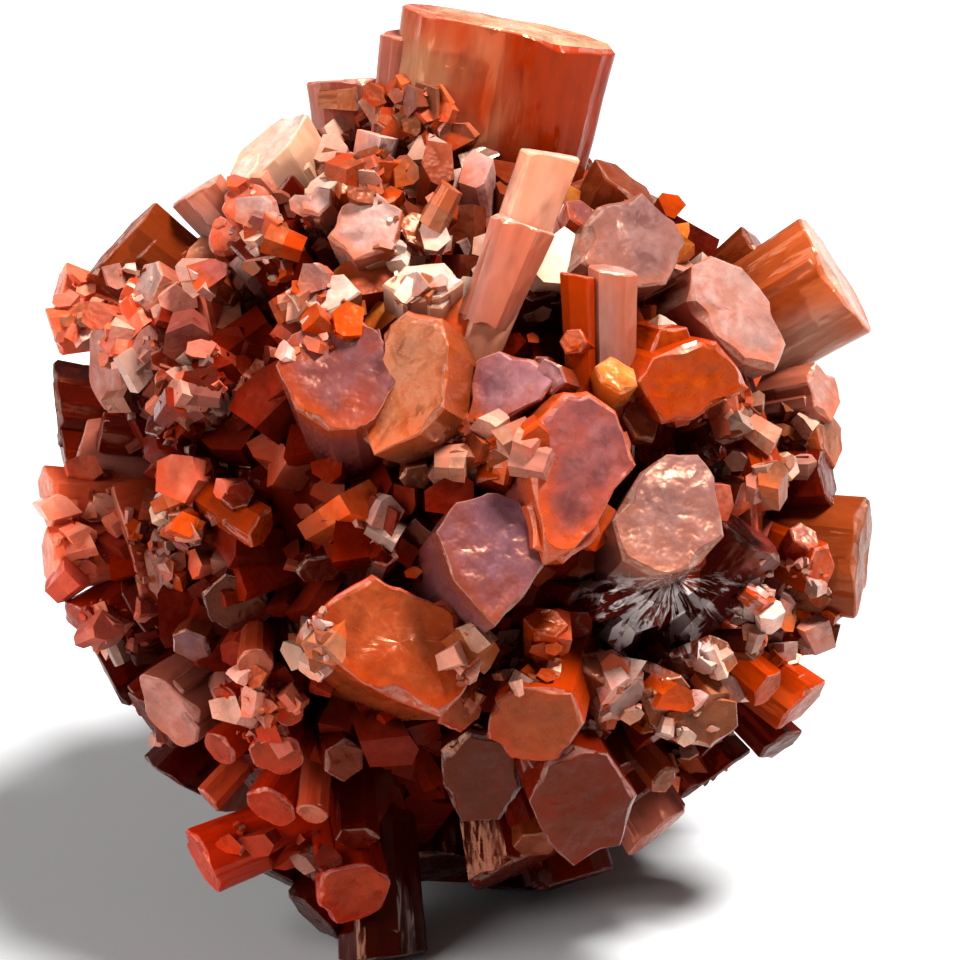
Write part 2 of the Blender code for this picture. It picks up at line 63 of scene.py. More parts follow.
# How far the cluster reaches in the picture plane, anticlockwise from the right: degrees, mm.
SKYLINE = [
    (0, 26.0), (20, 24.0), (35, 23.0), (50, 22.8), (65, 24.2), (90, 26.0), (105, 27.5), (120, 27.2),
    (150, 28.0), (180, 27.2), (210, 27.4), (235, 28.0), (250, 28.5), (270, 27.2), (300, 27.6), (320, 27.4),
    (335, 27.4), (360, 26.0),
]

# A crystal's form: six corners, a little uneven, wider at the tip than at the root.
CORNERS = 6
CORNER_SHIFT = math.radians(7)
CORNER_SWELL = 0.10
ROOT_SHARE = 0.74

# The crystals placed by rule.
BACK_CRYSTALS = 104
BACK_SHARE = (0.86, 1.02)
BACK_ACROSS = (5.2 * MM, 12.5 * MM)
BACK_SLIM = (0.62, 1.0)
BACK_FACING = (0.05, 0.34)
LEAN_BACK = math.radians(13)
CROWN_CRYSTALS = 130
CROWN_FROM = 0.62
CROWN_REACH = (24.0 * MM, 26.6 * MM)
CROWN_ACROSS = (3.8 * MM, 6.2 * MM)
SMALL_CRYSTALS = 40
SMALL_REACH = (23.0 * MM, 25.5 * MM)
SMALL_ACROSS = (2.8 * MM, 5.0 * MM)
LEAN_SMALL = math.radians(28)

# Where the viewer sees a crystal that no crystal placed by rule may cover: right, up, radius in mm.
CLEAR = [(5.6, 19.6, 4.2), (3.2, 14.0, 4.2), (10.6, 12.0, 3.6), (-7.0, -1.5, 3.0)]
CLEAR_SHARE = 0.6

# The crystals that carry the cluster: where each one's middle meets the floor, and its width, in mm.
STANDING = [(0, 0, 9.0), (11.5, 6.5, 8.6), (-12.0, 7.0, 9.4), (2.0, 13.0, 7.6)]
STANDING_SINK = 1.0 * MM
STANDING_SLIM = 0.85
ROOT_DEPTH = 0.85
STOUT_SLIM = (0.7, 1.0)

# Thinner crystals grown into the large ones: their place and width as shares of the large one's, how far
# below its tip they end on average, as a share of its width, and how many may stand above it, and how far.
SATELLITES_FROM = 2.6 * MM
SATELLITE_EVERY = 1.5 * MM
SATELLITES_MOST = 8
SATELLITES_ON_LARGE = 4
LARGE_FROM = 9 * MM
SATELLITE_PLACE = (0.55, 0.80)
SATELLITE_ACROSS = (0.16, 0.42)
SATELLITE_TURN = 0.08
ENDS_BELOW = 0.16
ENDS_BELOW_LEAST = 0.25 * MM
STANDS_ABOVE_SHARE = 0.3
STANDS_ABOVE = (0.1 * MM, 0.5 * MM)

# A crystal's surface: the step between points round it, the rings up its sides, and the rings on its tip's
# face as shares of its outline.
COARSE_STEP = 0.9 * MM
MIDDLE_STEP = 0.55 * MM
FINE_STEP = 0.42 * MM
FINE_FROM = 4 * MM
FRONT_RINGS = 9
BACK_RINGS = 6
SATELLITE_RINGS = 4
END_RINGS = (1.0, 0.93, 0.84, 0.73, 0.61, 0.48, 0.34, 0.19)
RIM_BEVEL = 0.10 * MM
RIM_CHIP = 0.13
END_SLANT = 0.5
SLANTED_BELOW = 9 * MM
# How far round a crystal's corners are worn, as a share of its outline, by its look.
WORN = {"barrel": 0.06, "tawny": 0.07, "smoke": 0.03, "red": 0.035, "glow": 0.03, "rose": 0.03, "gold": 0.02}
WORN_ELSE = 0.012
WORN_TRACED = 0.003
# How far down the sides the painted light at the rim reaches.
RIM_GLOW = 1.6 * MM
# Ribs, bites out of the sides, the width of the chipped rim and the terraces on the tip's face: how large
# each is and how deep, as shares of the crystal's width.
RIB_SIZE, RIB_DEPTH = 0.07, 0.030
BITE_SIZE, BITE_DEPTH = 0.16, 0.09
BITE_FROM, BITE_STEEPNESS = 0.62, 2.6
CHIP_SIZE = 0.22
TERRACE_SIZE, TERRACE_STEPS, END_RELIEF = 0.26, 5, 0.040
LUMP_SIZE, LUMP_SHARE = 0.09, 0.35
RING_SHRINK = 0.022
SHARP_FROM = math.radians(16)

# The massive middle, which shows only at the bottom of the gaps.
HEART_RADIUS = 20.0 * MM
HEART_RELIEF = 1.6 * MM
HEART_GRID = (72, 38)

# The stones' colours, as a screen shows them: the frosted end, and the inside seen through the sides.
LOOKS = {
    "barrel": ((216, 180, 140), (186, 68, 0)),
    "tawny": ((226, 192, 172), (198, 104, 54)),
    "smoke": ((206, 146, 134), (188, 114, 96)),
    "gold": ((248, 204, 184), (224, 158, 128)),
    "brown": ((152, 86, 62), (140, 65, 26)),
    "lilac": ((138, 100, 110), (144, 72, 44)),
    "dove": ((176, 130, 136), (172, 86, 52)),
    "heather": ((124, 84, 86), (168, 74, 32)),
    "dusk": ((124, 48, 32), (116, 30, 10)),
    "mauve": ((146, 96, 96), (196, 88, 34)),
    "plum": ((98, 24, 12), (94, 20, 6)),
    "blush": ((208, 172, 162), (202, 124, 98)),
    "orange": ((178, 78, 14), (186, 72, 6)),
    "amber": ((232, 150, 78), (228, 128, 44)),
    "cream": ((240, 212, 198), (230, 184, 154)),
    "peach": ((152, 102, 76), (180, 92, 46)),
    "brick": ((118, 28, 0), (124, 36, 2)),
    "rust": ((186, 100, 60), (192, 74, 12)),
    "rose": ((206, 120, 96), (206, 92, 58)),
    "shell": ((164, 124, 118), (174, 112, 92)),
    "coral": ((242, 154, 124), (242, 124, 86)),
    "red": ((186, 70, 36), (190, 56, 18)),
    "glow": ((212, 80, 32), (214, 62, 18)),
    "wine": ((134, 62, 54), (104, 30, 20)),
    # dark, for what lies low down or deep in the gaps: partly the stone's deep red, partly painted shade.
    "dark": ((98, 24, 12), (84, 14, 4)),
}
RICHNESS = 1.27
STONE_IOR = 1.55
GLOSS_TINT = (1.0, 0.42, 0.24, 1)
# Splinters, facets and patches of colour: how many to a mm, how far they are drawn out along a crystal, how
# far facets are tilted, and the height of the lumps in mm.
PLATES, FLAKES, PATCHES, LUMPS = 0.55, 1.6, 0.34, 0.80
SPLINTER_SHARE, PATCH_SHARE = 0.12, 0.4
FACET_TILT = 0.085
LUMP_HEIGHT = 0.14
# Deep red: the colour of dark patches in the stone, and painted shade down in the gaps.
DEEP_RED_AND_SHADE = (70, 10, 2)
FROST_COLOUR = (255, 232, 214)
FEATHER_COLOUR = (255, 246, 242)
BACK_LOOKS = ["mauve", "peach", "orange", "lilac", "brick", "rust", "blush", "dusk", "smoke", "rose", "amber"]

# proud: how far in front of the ball's surface the tip's face lies, in mm.
# heading, tilt: which way the crystal points in the picture, counted from the right, and how far it
# turns away from pointing at the viewer, in degrees.
# face: the corners of the tip's face as the viewer sees them.
Broad = namedtuple("Broad", "proud heading tilt length face look")

BROAD = [
    Broad(1.2, 12, 24, 20, [
        (4.8, 3.3), (7.8, 6.4), (9.5, 6.5), (11.5, 5.0), (13.0, 1.1), (11.3, -0.7), (10.0, -3.4),
        (8.3, -5.3), (6.5, -6.2), (5.6, -1.8)], "mauve"),
    Broad(1.4, 40, 20, 19, [
        (-1.4, -3.5), (0.0, -1.4), (2.2, -0.5), (4.6, -1.4), (5.3, -2.5), (6.3, -4.0), (6.4, -6.0),
        (4.9, -8.2), (2.8, -10.4), (1.6, -9.1), (-0.2, -7.0)], "lilac"),
    Broad(2.2, 30, 14, 20, [
        (-8.3, -7.9), (-5.8, -6.4), (-2.2, -8.2), (1.2, -9.7), (1.5, -10.9), (1.3, -14.4), (-0.8, -16.7),
        (-4.1, -15.4), (-6.4, -14.4), (-9.5, -12.0), (-9.7, -9.1)], "rust"),
    Broad(2.0, 98, 24, 19, [
        (-12.7, 8.1), (-11.6, 10.3), (-9.5, 11.8), (-7.5, 12.2), (-5.6, 10.9), (-4.4, 9.0), (-3.9, 7.0),
        (-4.9, 5.3), (-6.0, 3.5), (-8.8, 3.4), (-11.2, 4.9)], "heather"),
    Broad(1.6, 150, 24, 19, [
        (-5.4, 10.5), (-3.6, 12.3), (-1.1, 11.6), (-0.4, 9.5), (-0.8, 5.0), (-2.5, 3.1), (-5.7, 1.7),
        (-6.4, 3.5), (-5.4, 6.3)], "peach"),
    Broad(-1.6, 165, 18, 14, [
        (1.2, 8.4), (2.8, 9.3), (5.3, 8.5), (7.1, 7.4), (6.0, 5.6), (4.6, 4.8), (2.8, 3.5),
        (1.0, 3.9)], "dove"),
    Broad(1.6, -20, 28, 16, [
        (12.7, 6.8), (13.8, 8.5), (15.8, 9.3), (17.6, 9.9), (18.7, 9.7), (21.3, 6.3), (16.8, 4.1),
        (14.6, 3.8)], "orange"),
    Broad(0.4, 50, 24, 18, [
        (13.0, 0.7), (14.9, 2.0), (17.2, 2.0), (18.4, 0.4), (19.0, -3.9), (17.5, -5.6), (15.8, -6.7),
        (13.7, -6.7), (11.7, -5.6), (10.9, -2.8)], "shell"),
    Broad(0.4, 38, 42, 18, [
        (10.2, 19.3), (13.3, 20.4), (15.6, 18.3), (16.3, 16.6), (14.9, 13.7), (11.6, 13.3), (8.8, 15.1),
        (9.1, 17.9)], "shell"),
    Broad(0.2, 25, 38, 16, [
        (16.5, 15.0), (18.0, 15.9), (20.3, 15.1), (22.4, 12.6), (23.5, 9.5), (22.8, 7.6), (20.3, 8.1),
        (18.2, 9.9), (16.3, 12.6)], "blush"),
    Broad(6.0, -65, 35, 20, [
        (6.3, -19.7), (8.4, -18.6), (10.7, -19.0), (13.0, -22.4), (11.7, -25.9), (8.4, -27.4),
        (6.5, -25.9), (5.1, -22.4)], "brick"),
    Broad(1.0, -108, 42, 16, [
        (2.5, -15.4), (4.6, -14.7), (8.1, -15.4), (9.0, -17.5), (7.4, -19.6), (3.9, -19.5),
        (2.2, -17.9)], "rust"),
    Broad(2.0, -25, 28, 16, [
        (13.0, -14.7), (14.9, -14.3), (19.6, -15.4), (19.8, -17.2), (18.2, -19.0), (15.8, -18.6),
        (13.7, -17.2)], "peach"),
    Broad(-2.6, -95, 40, 15, [
        (-1.1, -19.3), (1.0, -17.9), (4.2, -18.6), (4.9, -21.7), (3.2, -23.9), (0.4, -23.9),
        (-0.9, -21.7)], "plum"),
    Broad(0.5, 216, 48, 14, [
        (-22.1, -13.3), (-20.3, -14.0), (-18.2, -16.5), (-18.2, -18.6), (-19.4, -19.0),
        (-21.5, -16.5)], "smoke"),
]
# right, up: the middle of the tip's face as the viewer sees it.
# across, slim: the broad width in mm, and the narrow width as a share of it.
# lie: the picture angle of the broad width in degrees, where it isn't square to the heading.
Crystal = namedtuple("Crystal", "right up proud heading tilt across slim length look lie", defaults=[None])

FRONT = [Crystal(*row) for row in (
    # the large prisms on the outline, from the top round to the right
    (3.6, 32.0, 2.0, 79, 80, 16.9, 0.62, 34, "barrel"),
    (-3.8, 31.3, 2.4, 84, 79, 2.8, 0.85, 19, "smoke"),
    (6.6, 22.9, 9.0, 70, 88, 4.9, 0.60, 15, "gold"),
    (12.0, 20.9, -4.0, 60, 65, 5.5, 0.80, 15, "brown"),
    (26.8, 14.4, 0.0, 31, 80, 10.6, 0.80, 28, "tawny"),
    (28.6, -5.2, 3.0, -6, 74, 8.8, 0.60, 24, "peach"),
    (21.6, 16.0, -4.0, 40, 80, 4.6, 0.80, 16, "brown"),
    (26.2, 0.2, -3.5, 2, 78, 4.6, 0.85, 15, "dusk"),
    # the small ones between them
    (8.9, 18.7, 0.0, 60, 30, 2.9, 0.90, 9, "mauve"),
    (6.1, 13.7, -5.0, 100, 45, 3.4, 0.90, 10, "plum"),
    (11.0, 14.8, 1.6, 90, 84, 3.4, 0.80, 13, "blush"),
    (8.5, 14.4, 0.8, 92, 84, 2.6, 0.80, 12, "orange"),
    (8.2, 9.7, -1.0, 150, 25, 2.1, 1.00, 8, "orange"),
    (11.3, 7.4, 0.0, 60, 30, 3.2, 0.85, 9, "amber"),
    (15.4, 10.3, -1.0, 30, 40, 3.3, 0.70, 9, "cream"),
    (25.9, 6.2, -2.0, 10, 60, 4.2, 0.85, 13, "blush"),
    (26.4, 2.9, -3.0, 0, 68, 4.2, 0.85, 13, "peach"),
    (20.6, 4.2, -1.0, 20, 50, 2.8, 0.80, 9, "peach"),
    (21.9, -0.7, 1.0, -75, 55, 3.1, 0.80, 13, "orange"),
    (23.5, 1.0, 0.0, 10, 40, 2.0, 0.90, 11, "cream"),
    (25.7, -6.3, 4.0, -25, 42, 4.2, 0.75, 14, "orange"),
    (24.5, -3.9, -1.0, 60, 30, 2.5, 0.85, 12, "mauve"),
    (26.6, -9.7, 2.0, -50, 60, 2.2, 0.90, 13, "peach"),
    (21.7, -8.4, 0.0, -20, 40, 2.6, 0.60, 11, "blush", 30),
    (25.4, -11.2, 1.0, -40, 62, 3.2, 0.90, 13, "orange"),
    (18.6, -12.3, 0.0, 20, 35, 3.0, 0.90, 12, "peach"),
    (21.1, -11.6, 0.0, 0, 45, 2.4, 0.80, 11, "brown"),
    (24.5, -15.7, 4.0, -35, 58, 5.0, 0.80, 16, "rust"),
    (22.0, -14.7, 3.0, -40, 50, 3.0, 0.80, 12, "orange"),
    (22.8, -18.6, 0.0, -45, 70, 3.8, 0.80, 14, "dusk"),
    # round the broad faces
    (20.5, -3.6, -3.0, 50, 60, 6.4, 0.80, 17, "wine"),
    (12.4, -8.9, -3.0, -120, 50, 5.5, 0.75, 14, "wine"),
    (13.1, 4.2, -2.5, 30, 35, 3.6, 0.90, 12, "brown"),
    (0.5, -16.2, -2.5, -60, 35, 3.8, 0.90, 12, "rust"),
    (2.8, 1.5, -2.0, 140, 40, 4.4, 0.70, 13, "orange"),
    (0.1, 0.3, -3.0, -90, 25, 3.9, 0.90, 12, "blush"),
    (-2.7, 0.1, -4.0, -90, 35, 2.7, 0.90, 10, "peach"),
    (-6.5, -1.4, -7.0, -42, 72, 1.6, 0.70, 10, "dark"),
    (-7.1, -2.4, -4.0, 60, 25, 1.9, 0.90, 8, "peach"),
    (-5.3, -3.0, -3.5, 80, 30, 1.5, 0.90, 8, "cream"),
    (-2.7, -4.8, -4.0, -100, 30, 4.4, 0.75, 11, "dusk", 90),
    (-4.9, -5.2, -3.0, 70, 25, 2.0, 0.90, 8, "blush"),
    (-9.5, -6.3, -5.0, -90, 30, 3.8, 0.60, 8, "dusk", 0),
    # below the middle
    (6.4, -9.9, -2.0, 90, 45, 3.2, 0.85, 12, "orange"),
    (8.4, -18.6, -1.0, -70, 45, 6.2, 0.60, 14, "brick"),
    (11.7, -15.4, -1.0, -50, 45, 4.6, 0.85, 13, "blush"),
    (10.5, -13.0, -2.0, 60, 35, 3.8, 0.85, 12, "brown"),
    (14.7, -21.1, 4.0, -50, 50, 2.6, 0.90, 14, "peach"),
    (14.1, -24.8, 2.0, -58, 66, 5.6, 0.80, 18, "smoke"),
    (4.2, -28.5, -8.0, -88, 82, 7.8, 0.60, 17, "dark"),
    (5.7, -25.6, -1.0, -85, 62, 3.6, 0.85, 14, "brown"),
    (8.2, -28.1, -4.0, -76, 80, 6.0, 0.80, 17, "dusk"),
    (18.4, -20.6, -3.0, -48, 78, 6.0, 0.80, 16, "dusk"),
    (-1.2, -27.2, -3.0, -94, 74, 5.8, 0.85, 16, "dark"),
    # the upper left
    (-8.0, 28.0, -2.0, 95, 72, 5.2, 0.80, 16, "smoke"),
    (-13.1, 23.5, 0.0, 122, 72, 7.4, 0.80, 17, "cream"),
    (-14.7, 19.6, 2.0, 120, 38, 4.0, 0.90, 12, "rose"),
    (-5.1, 21.2, 0.0, 60, 24, 4.3, 0.90, 12, "brown"),
    (-2.6, 17.6, -2.0, 80, 25, 3.2, 0.90, 10, "peach"),
    (-0.6, 19.3, -1.5, 45, 45, 2.6, 0.90, 10, "orange"),
    (-6.1, 17.9, 0.0, 110, 30, 5.6, 0.90, 13, "blush"),
    (-9.7, 19.6, 0.0, 130, 30, 2.6, 0.90, 10, "blush"),
    (-12.6, 18.6, 1.0, 60, 62, 1.7, 0.80, 9, "blush"),
    (-17.6, 14.4, 1.0, 140, 32, 2.6, 0.90, 11, "peach"),
    (-9.5, 13.1, 0.0, 100, 32, 5.6, 0.68, 13, "cream", -10),
    (-2.3, 13.9, -1.0, 90, 38, 6.4, 0.60, 14, "cream", -5),
    (1.6, 13.2, -3.0, 80, 35, 4.4, 0.70, 12, "cream"),
    (-23.6, 16.7, -1.0, 143, 80, 7.2, 0.55, 16, "brown"),
    (-18.1, 20.4, -1.0, 131, 74, 4.6, 0.80, 14, "blush"),
    (-27.7, 13.6, -2.0, 160, 78, 3.4, 0.80, 16, "coral"),
    (-28.2, 10.4, 1.0, 187, 72, 3.8, 0.80, 17, "coral"),
    (-21.6, 13.6, 0.0, 150, 50, 4.4, 0.80, 13, "blush"),
    (-20.3, 12.5, 0.0, 160, 35, 3.6, 0.80, 12, "peach"),
    (-27.9, 5.6, -3.0, 171, 80, 5.6, 0.80, 16, "dusk"),
    (-27.5, 2.2, -3.5, 176, 80, 4.4, 0.80, 15, "brick"),
    (-24.4, 8.7, -1.0, 168, 60, 7.4, 0.70, 15, "smoke"),
    (-22.0, 9.1, -2.0, 165, 62, 4.4, 0.80, 13, "smoke"),
    (-18.6, 7.3, 0.0, 150, 30, 6.0, 0.85, 14, "rose"),
    # the lower left
    (-28.6, -1.4, 3.0, 178, 70, 4.8, 0.85, 16, "coral"),
    (-28.4, -5.7, 4.0, 190, 66, 4.8, 0.85, 16, "coral"),
    (-26.1, -10.1, 4.0, 212, 60, 4.6, 0.80, 15, "red"),
    (-24.6, -13.2, -3.0, 208, 80, 6.4, 0.80, 16, "dark"),
    (-19.8, -20.8, -3.0, 226, 80, 5.4, 0.80, 16, "dark"),
    (-20.8, -6.3, -4.0, 195, 55, 5.8, 0.85, 14, "brown"),
    (-20.8, -1.8, -2.0, 150, 40, 2.6, 0.90, 10, "cream"),
    (-18.9, -3.5, -2.0, 230, 30, 3.3, 0.85, 11, "brown"),
    (-13.5, -3.5, -2.5, -30, 45, 3.2, 0.80, 11, "orange"),
    (-15.2, -1.0, -2.5, 100, 25, 2.6, 0.90, 10, "brick"),
    (-15.3, -8.7, -4.0, -110, 35, 5.8, 0.85, 12, "dark"),
    (-18.6, -11.6, -1.0, -120, 35, 3.2, 0.90, 12, "lilac"),
    (-14.1, -13.0, 0.0, -90, 30, 3.0, 0.90, 11, "rose"),
    (-15.9, -15.4, 0.0, 200, 40, 2.4, 0.90, 11, "red"),
    (-13.5, -15.8, 0.0, 250, 25, 3.2, 0.90, 11, "red"),
    (-11.7, -16.2, -1.0, 300, 30, 2.6, 0.90, 10, "red"),
    (-12.5, -19.3, 0.0, 250, 28, 4.2, 0.90, 12, "red"),
    (-16.6, -18.9, 0.0, 218, 58, 3.4, 0.85, 12, "red"),
    (-17.3, -22.4, 6.0, 228, 64, 2.4, 0.80, 15, "rose"),
    (-12.8, -23.0, 5.0, 240, 38, 4.4, 0.90, 15, "red"),
    (-10.0, -23.5, 3.0, 265, 55, 2.8, 0.80, 12, "rose"),
    (-7.7, -19.6, -2.0, 300, 28, 3.3, 0.90, 11, "dusk"),
    (-17.9, -26.5, 6.0, 200, 68, 5.6, 0.90, 19, "glow"),
    (-7.2, -29.0, 8.0, -78, 38, 5.6, 0.95, 18, "red"),
    (-6.9, -25.2, 2.0, -85, 60, 3.2, 0.80, 13, "brick"),
    (-10.0, -30.6, 3.0, 236, 76, 5.0, 0.85, 17, "dark"),
    (-12.6, -27.8, 1.0, 244, 80, 4.4, 0.85, 16, "dark"),
    (-5.2, -33.6, 3.6, -87, 80, 6.6, 0.90, 20, "dark"),
    # a short one on the lower half of the pale slab
    (4.9, 18.0, 2.4, 69, 87, 5.1, 0.66, 7, "blush"),
)]

# Where rays that look for the surface start: in front of the ball, and all round it from its middle.
IN_FRONT = 40 * MM
OUTSIDE = 60 * MM

# Where crumbs lie, as the viewer sees it: right, up, half width, half height in mm, how many, their looks.
CRUMBS = [
    (-4.2, 23.2, 5.2, 4.2, 170, ("orange", "peach", "rust", "brown")),
    (-13.7, 15.8, 5.4, 5.4, 100, ("blush", "peach", "mauve", "rust")),
    (-17.9, 5.3, 5.0, 5.4, 240, ("brick", "brick", "brown", "rose")),
    (-14.1, -15.8, 2.8, 2.4, 60, ("red", "rose", "rust")),
    (-10.2, -25.8, 1.8, 1.4, 16, ("red", "brick")),
    (2.6, 2.6, 3.0, 1.9, 60, ("orange", "rust", "peach")),
    (-6.0, -3.2, 2.4, 2.6, 40, ("blush", "orange", "brick")),
    (15.1, -15.8, 5.2, 4.4, 60, ("blush", "peach", "orange")),
    (23.1, -9.1, 3.4, 3.8, 90, ("peach", "blush", "orange")),
    (21.0, 2.8, 4.0, 3.2, 70, ("orange", "peach", "brown")),
    (-2.6, 16.0, 2.6, 3.4, 34, ("cream", "blush", "peach")),
    (-10.9, 11.9, 4.2, 3.2, 50, ("peach", "blush", "orange")),
    (-22.0, 11.0, 4.0, 4.0, 60, ("rose", "blush", "brick")),
    (-19.5, -4.5, 4.0, 3.2, 70, ("brick", "rust", "orange")),
    (5.0, -13.0, 3.0, 2.0, 30, ("orange", "peach")),
    (-10.0, -11.0, 1.2, 2.6, 40, ("peach", "blush")),
    (1.2, -13.0, 1.0, 3.4, 40, ("rust", "peach")),
    (-25.4, 11.8, 2.4, 3.0, 40, ("coral", "rose", "peach")),
    (-25.4, -3.4, 2.4, 4.4, 36, ("coral", "rose", "red")),
    (-23.8, -10.0, 2.0, 2.4, 24, ("red", "rose")),
    (-14.2, -24.6, 1.8, 1.0, 8, ("glow", "red")),
]
CRUMB_SIZE = (0.4 * MM, 3.0 * MM)

# Small crystals: how far their corners are turned (radians), drawn in or out, their narrow width as a share
# of the broad one, the slant of their tips, their root's share, how light each is and how pale some crumbs.
SMALL_TURN = 0.40
SMALL_SWELL = (0.78, 1.22)
SMALL_SLIM = (0.65, 1.0)
SMALL_SLANT = 0.5
SMALL_ROOT = 0.8
SMALL_LIGHT = (0.6, 1.25)
PALEST = 0.35
BACK_CRUMB_SPOTS = 26
BACK_CRUMBS = 60
BACK_CRUMBS_LOOKS = ("peach", "rose", "brick", "blush")
DRUSE_COUNT = 1500
DRUSE_SIZE = (1.2 * MM, 4.8 * MM)
DRUSE_BELOW = 23.8 * MM
DRUSE_TIP = 25.0 * MM

# White feathers of frost on the dark crystals: right, up, toward the viewer of the point that they spread
# from and how far they reach, in mm, and how many rays there are.
FEATHER_ROOT = (14.6, -6.4, 19.0)
FEATHER_REACH = 7.4
FEATHER_RAYS = 6

# A prism in space: the middle of its tip's face, the way it points, the corners of its tip's face from that
# middle, its length and its look.
Prism = namedtuple("Prism", "tip axis rim length look")

RIGHT = Vector((1, 0, 0))
UP = Vector((0, math.sin(VIEW_CLIMB), math.cos(VIEW_CLIMB)))
TOWARD = Vector((0, -math.cos(VIEW_CLIMB), math.sin(VIEW_CLIMB)))
# The way light comes from for the painted glow: crystals are painted brighter on the side away from it.
LIGHT_FROM = np.array((RIGHT * 0.55 + UP * 0.85 + TOWARD * 0.4).normalized())


# ---- where the crystals stand


def in_space(right, up, toward):
    """A vector of the viewer's directions as a vector of the part's frame."""
    return RIGHT * right + UP * up + TOWARD * toward


def seen_place(right, up, proud):
    """The point that the viewer sees at (right, up), and its scale. What lies nearer looks larger."""
    toward = math.sqrt(max(0.0, BALL_RADIUS**2 - right**2 - up**2)) + proud
    nearer = 1 - toward / VIEW_DISTANCE
    right = VIEW_OFFSET + (right - VIEW_OFFSET) * nearer
    return BALL_CENTRE + in_space(right, up * nearer, toward), nearer


def seen_axis(heading, tilt):
    """The way a crystal points, from its angle in the picture and its turn away from the viewer."""
    heading, tilt = math.radians(heading), math.radians(tilt)
    return in_space(math.cos(heading) * math.sin(tilt), math.sin(heading) * math.sin(tilt), math.cos(tilt))


def six_corners(random, axis, broad, across, slim):
    """An uneven hexagon square to an axis, as vectors from its middle."""
    narrow = axis.cross(broad)
    turn = 2 * math.pi * np.arange(CORNERS) / CORNERS
    turn = turn + random.uniform(-CORNER_SHIFT, CORNER_SHIFT, CORNERS)
    swell = across / 2 * (1 + random.uniform(-CORNER_SWELL, CORNER_SWELL, CORNERS))
    return [broad * (s * math.cos(t)) + narrow * (s * slim * math.sin(t)) for s, t in zip(swell, turn)]


def broad_prism(row):
    """The prism of one line of BROAD. Its tip's face is square to it, so each corner is slid along the
    line of sight onto that plane."""
    middle = [part * MM for part in face_middle(row.face)]
    tip, nearer = seen_place(*middle, row.proud * MM)
    axis = seen_axis(row.heading, row.tilt)
    rim = []
    for corner in row.face:
        offset = in_space((corner[0] * MM - middle[0]) * nearer, (corner[1] * MM - middle[1]) * nearer, 0)
        rim.append(offset - TOWARD * (offset.dot(axis) / TOWARD.dot(axis)))
    if sum(rim[i - 1].cross(rim[i]).dot(axis) for i in range(len(rim))) < 0:
        rim.reverse()
    return Prism(tip, axis, rim, row.length * MM, row.look)


def front_prism(random, row):
    """The prism of one line of FRONT."""
    tip, nearer = seen_place(row.right * MM, row.up * MM, row.proud * MM)
    axis = seen_axis(row.heading, row.tilt)
    heading = math.radians(row.heading)
    broad = in_space(-math.sin(heading), math.cos(heading), 0)
    if row.lie is not None:
        broad = Matrix.Rotation(math.radians(row.lie - row.heading - 90), 3, axis) @ broad
    rim = six_corners(random, axis, broad, row.across * MM * nearer, row.slim)
    return Prism(tip, axis, rim, row.length * MM, row.look)


def face_middle(face):
    """The mean of a traced face's corners, in mm."""
    return [sum(corner[i] for corner in face) / len(face) for i in range(2)]


def spiral(count):
    """Evenly spread directions, as the seeds of a sunflower lie on a ball."""
    golden = math.pi * (3 - math.sqrt(5))
    for i in range(count):
        height = 1 - 2 * (i + 0.5) / count
        ring = math.sqrt(1 - height * height)
        yield Vector((ring * math.cos(golden * i), ring * math.sin(golden * i), height))


def skyline_reach(way, half):
    """How far along a direction from the ball's middle a crystal may reach. Near the outline that the
    viewer sees, its tip with half its width stays inside the skyline."""
    right, up, toward = way.dot(RIGHT), way.dot(UP), way.dot(TOWARD)
    angle = math.degrees(math.atan2(up, right)) % 360
    skyline = np.interp(angle, [a for a, _ in SKYLINE], [r for _, r in SKYLINE]) * MM
    aside = math.hypot(right, up)
    return min(FARTHEST, max(0.0, skyline - half * abs(toward)) / max(aside, 0.05))


def covers(way, reach, half):
    """Whether a crystal placed by rule would stand before what the viewer has to see."""
    right, up = way.dot(RIGHT) * reach / MM, way.dot(UP) * reach / MM
    if way.dot(TOWARD) < 0:
        return False
    spots = list(CLEAR)
    for row in BROAD:
        x, y = face_middle(row.face)
        spots.append((x, y, max(math.hypot(a - x, b - y) for a, b in row.face)))
    return any(math.hypot(right - x, up - y) < radius + CLEAR_SHARE * half / MM for x, y, radius in spots)


def leaning_prism(random, way, reach, across, slim, lean):
    """A prism along a direction from the ball's middle, leaning a little to one side of it."""
    side = Matrix.Rotation(random.uniform(0, 2 * math.pi), 3, way) @ way.orthogonal().normalized()
    axis = Matrix.Rotation(random.uniform(0, lean), 3, side) @ way
    broad = Matrix.Rotation(random.uniform(0, math.pi), 3, axis) @ axis.orthogonal().normalized()
    rim = six_corners(random, axis, broad, across, slim)
    return Prism(BALL_CENTRE + way * reach, axis, rim, reach * ROOT_DEPTH, rule_look(way))


def rule_look(way):
    """The look of a crystal placed by rule: dark low down, partly the stone's deep red and partly painted
    shade of the underside, red at the lower left, else one of many.
    """
    number = int(abs(way.x * 5171 + way.y * 3413 + way.z * 2687))
    right, up, toward = way.dot(RIGHT), way.dot(UP), way.dot(TOWARD)
    if toward > -0.2 and up < -0.35:
        return ("dark", "dusk", "brick")[number % 3]
    if toward > 0 and right < -0.4:
        return ("dusk", "brick", "rose")[number % 3]
    if toward > 0.3 and up < 0.5:
        return ("dusk", "brick", "rust", "rose")[number % 4]
    if toward > 0 and up > 0.5:
        return ("peach", "cream", "blush", "amber", "brown")[number % 5]
    return BACK_LOOKS[number % len(BACK_LOOKS)]


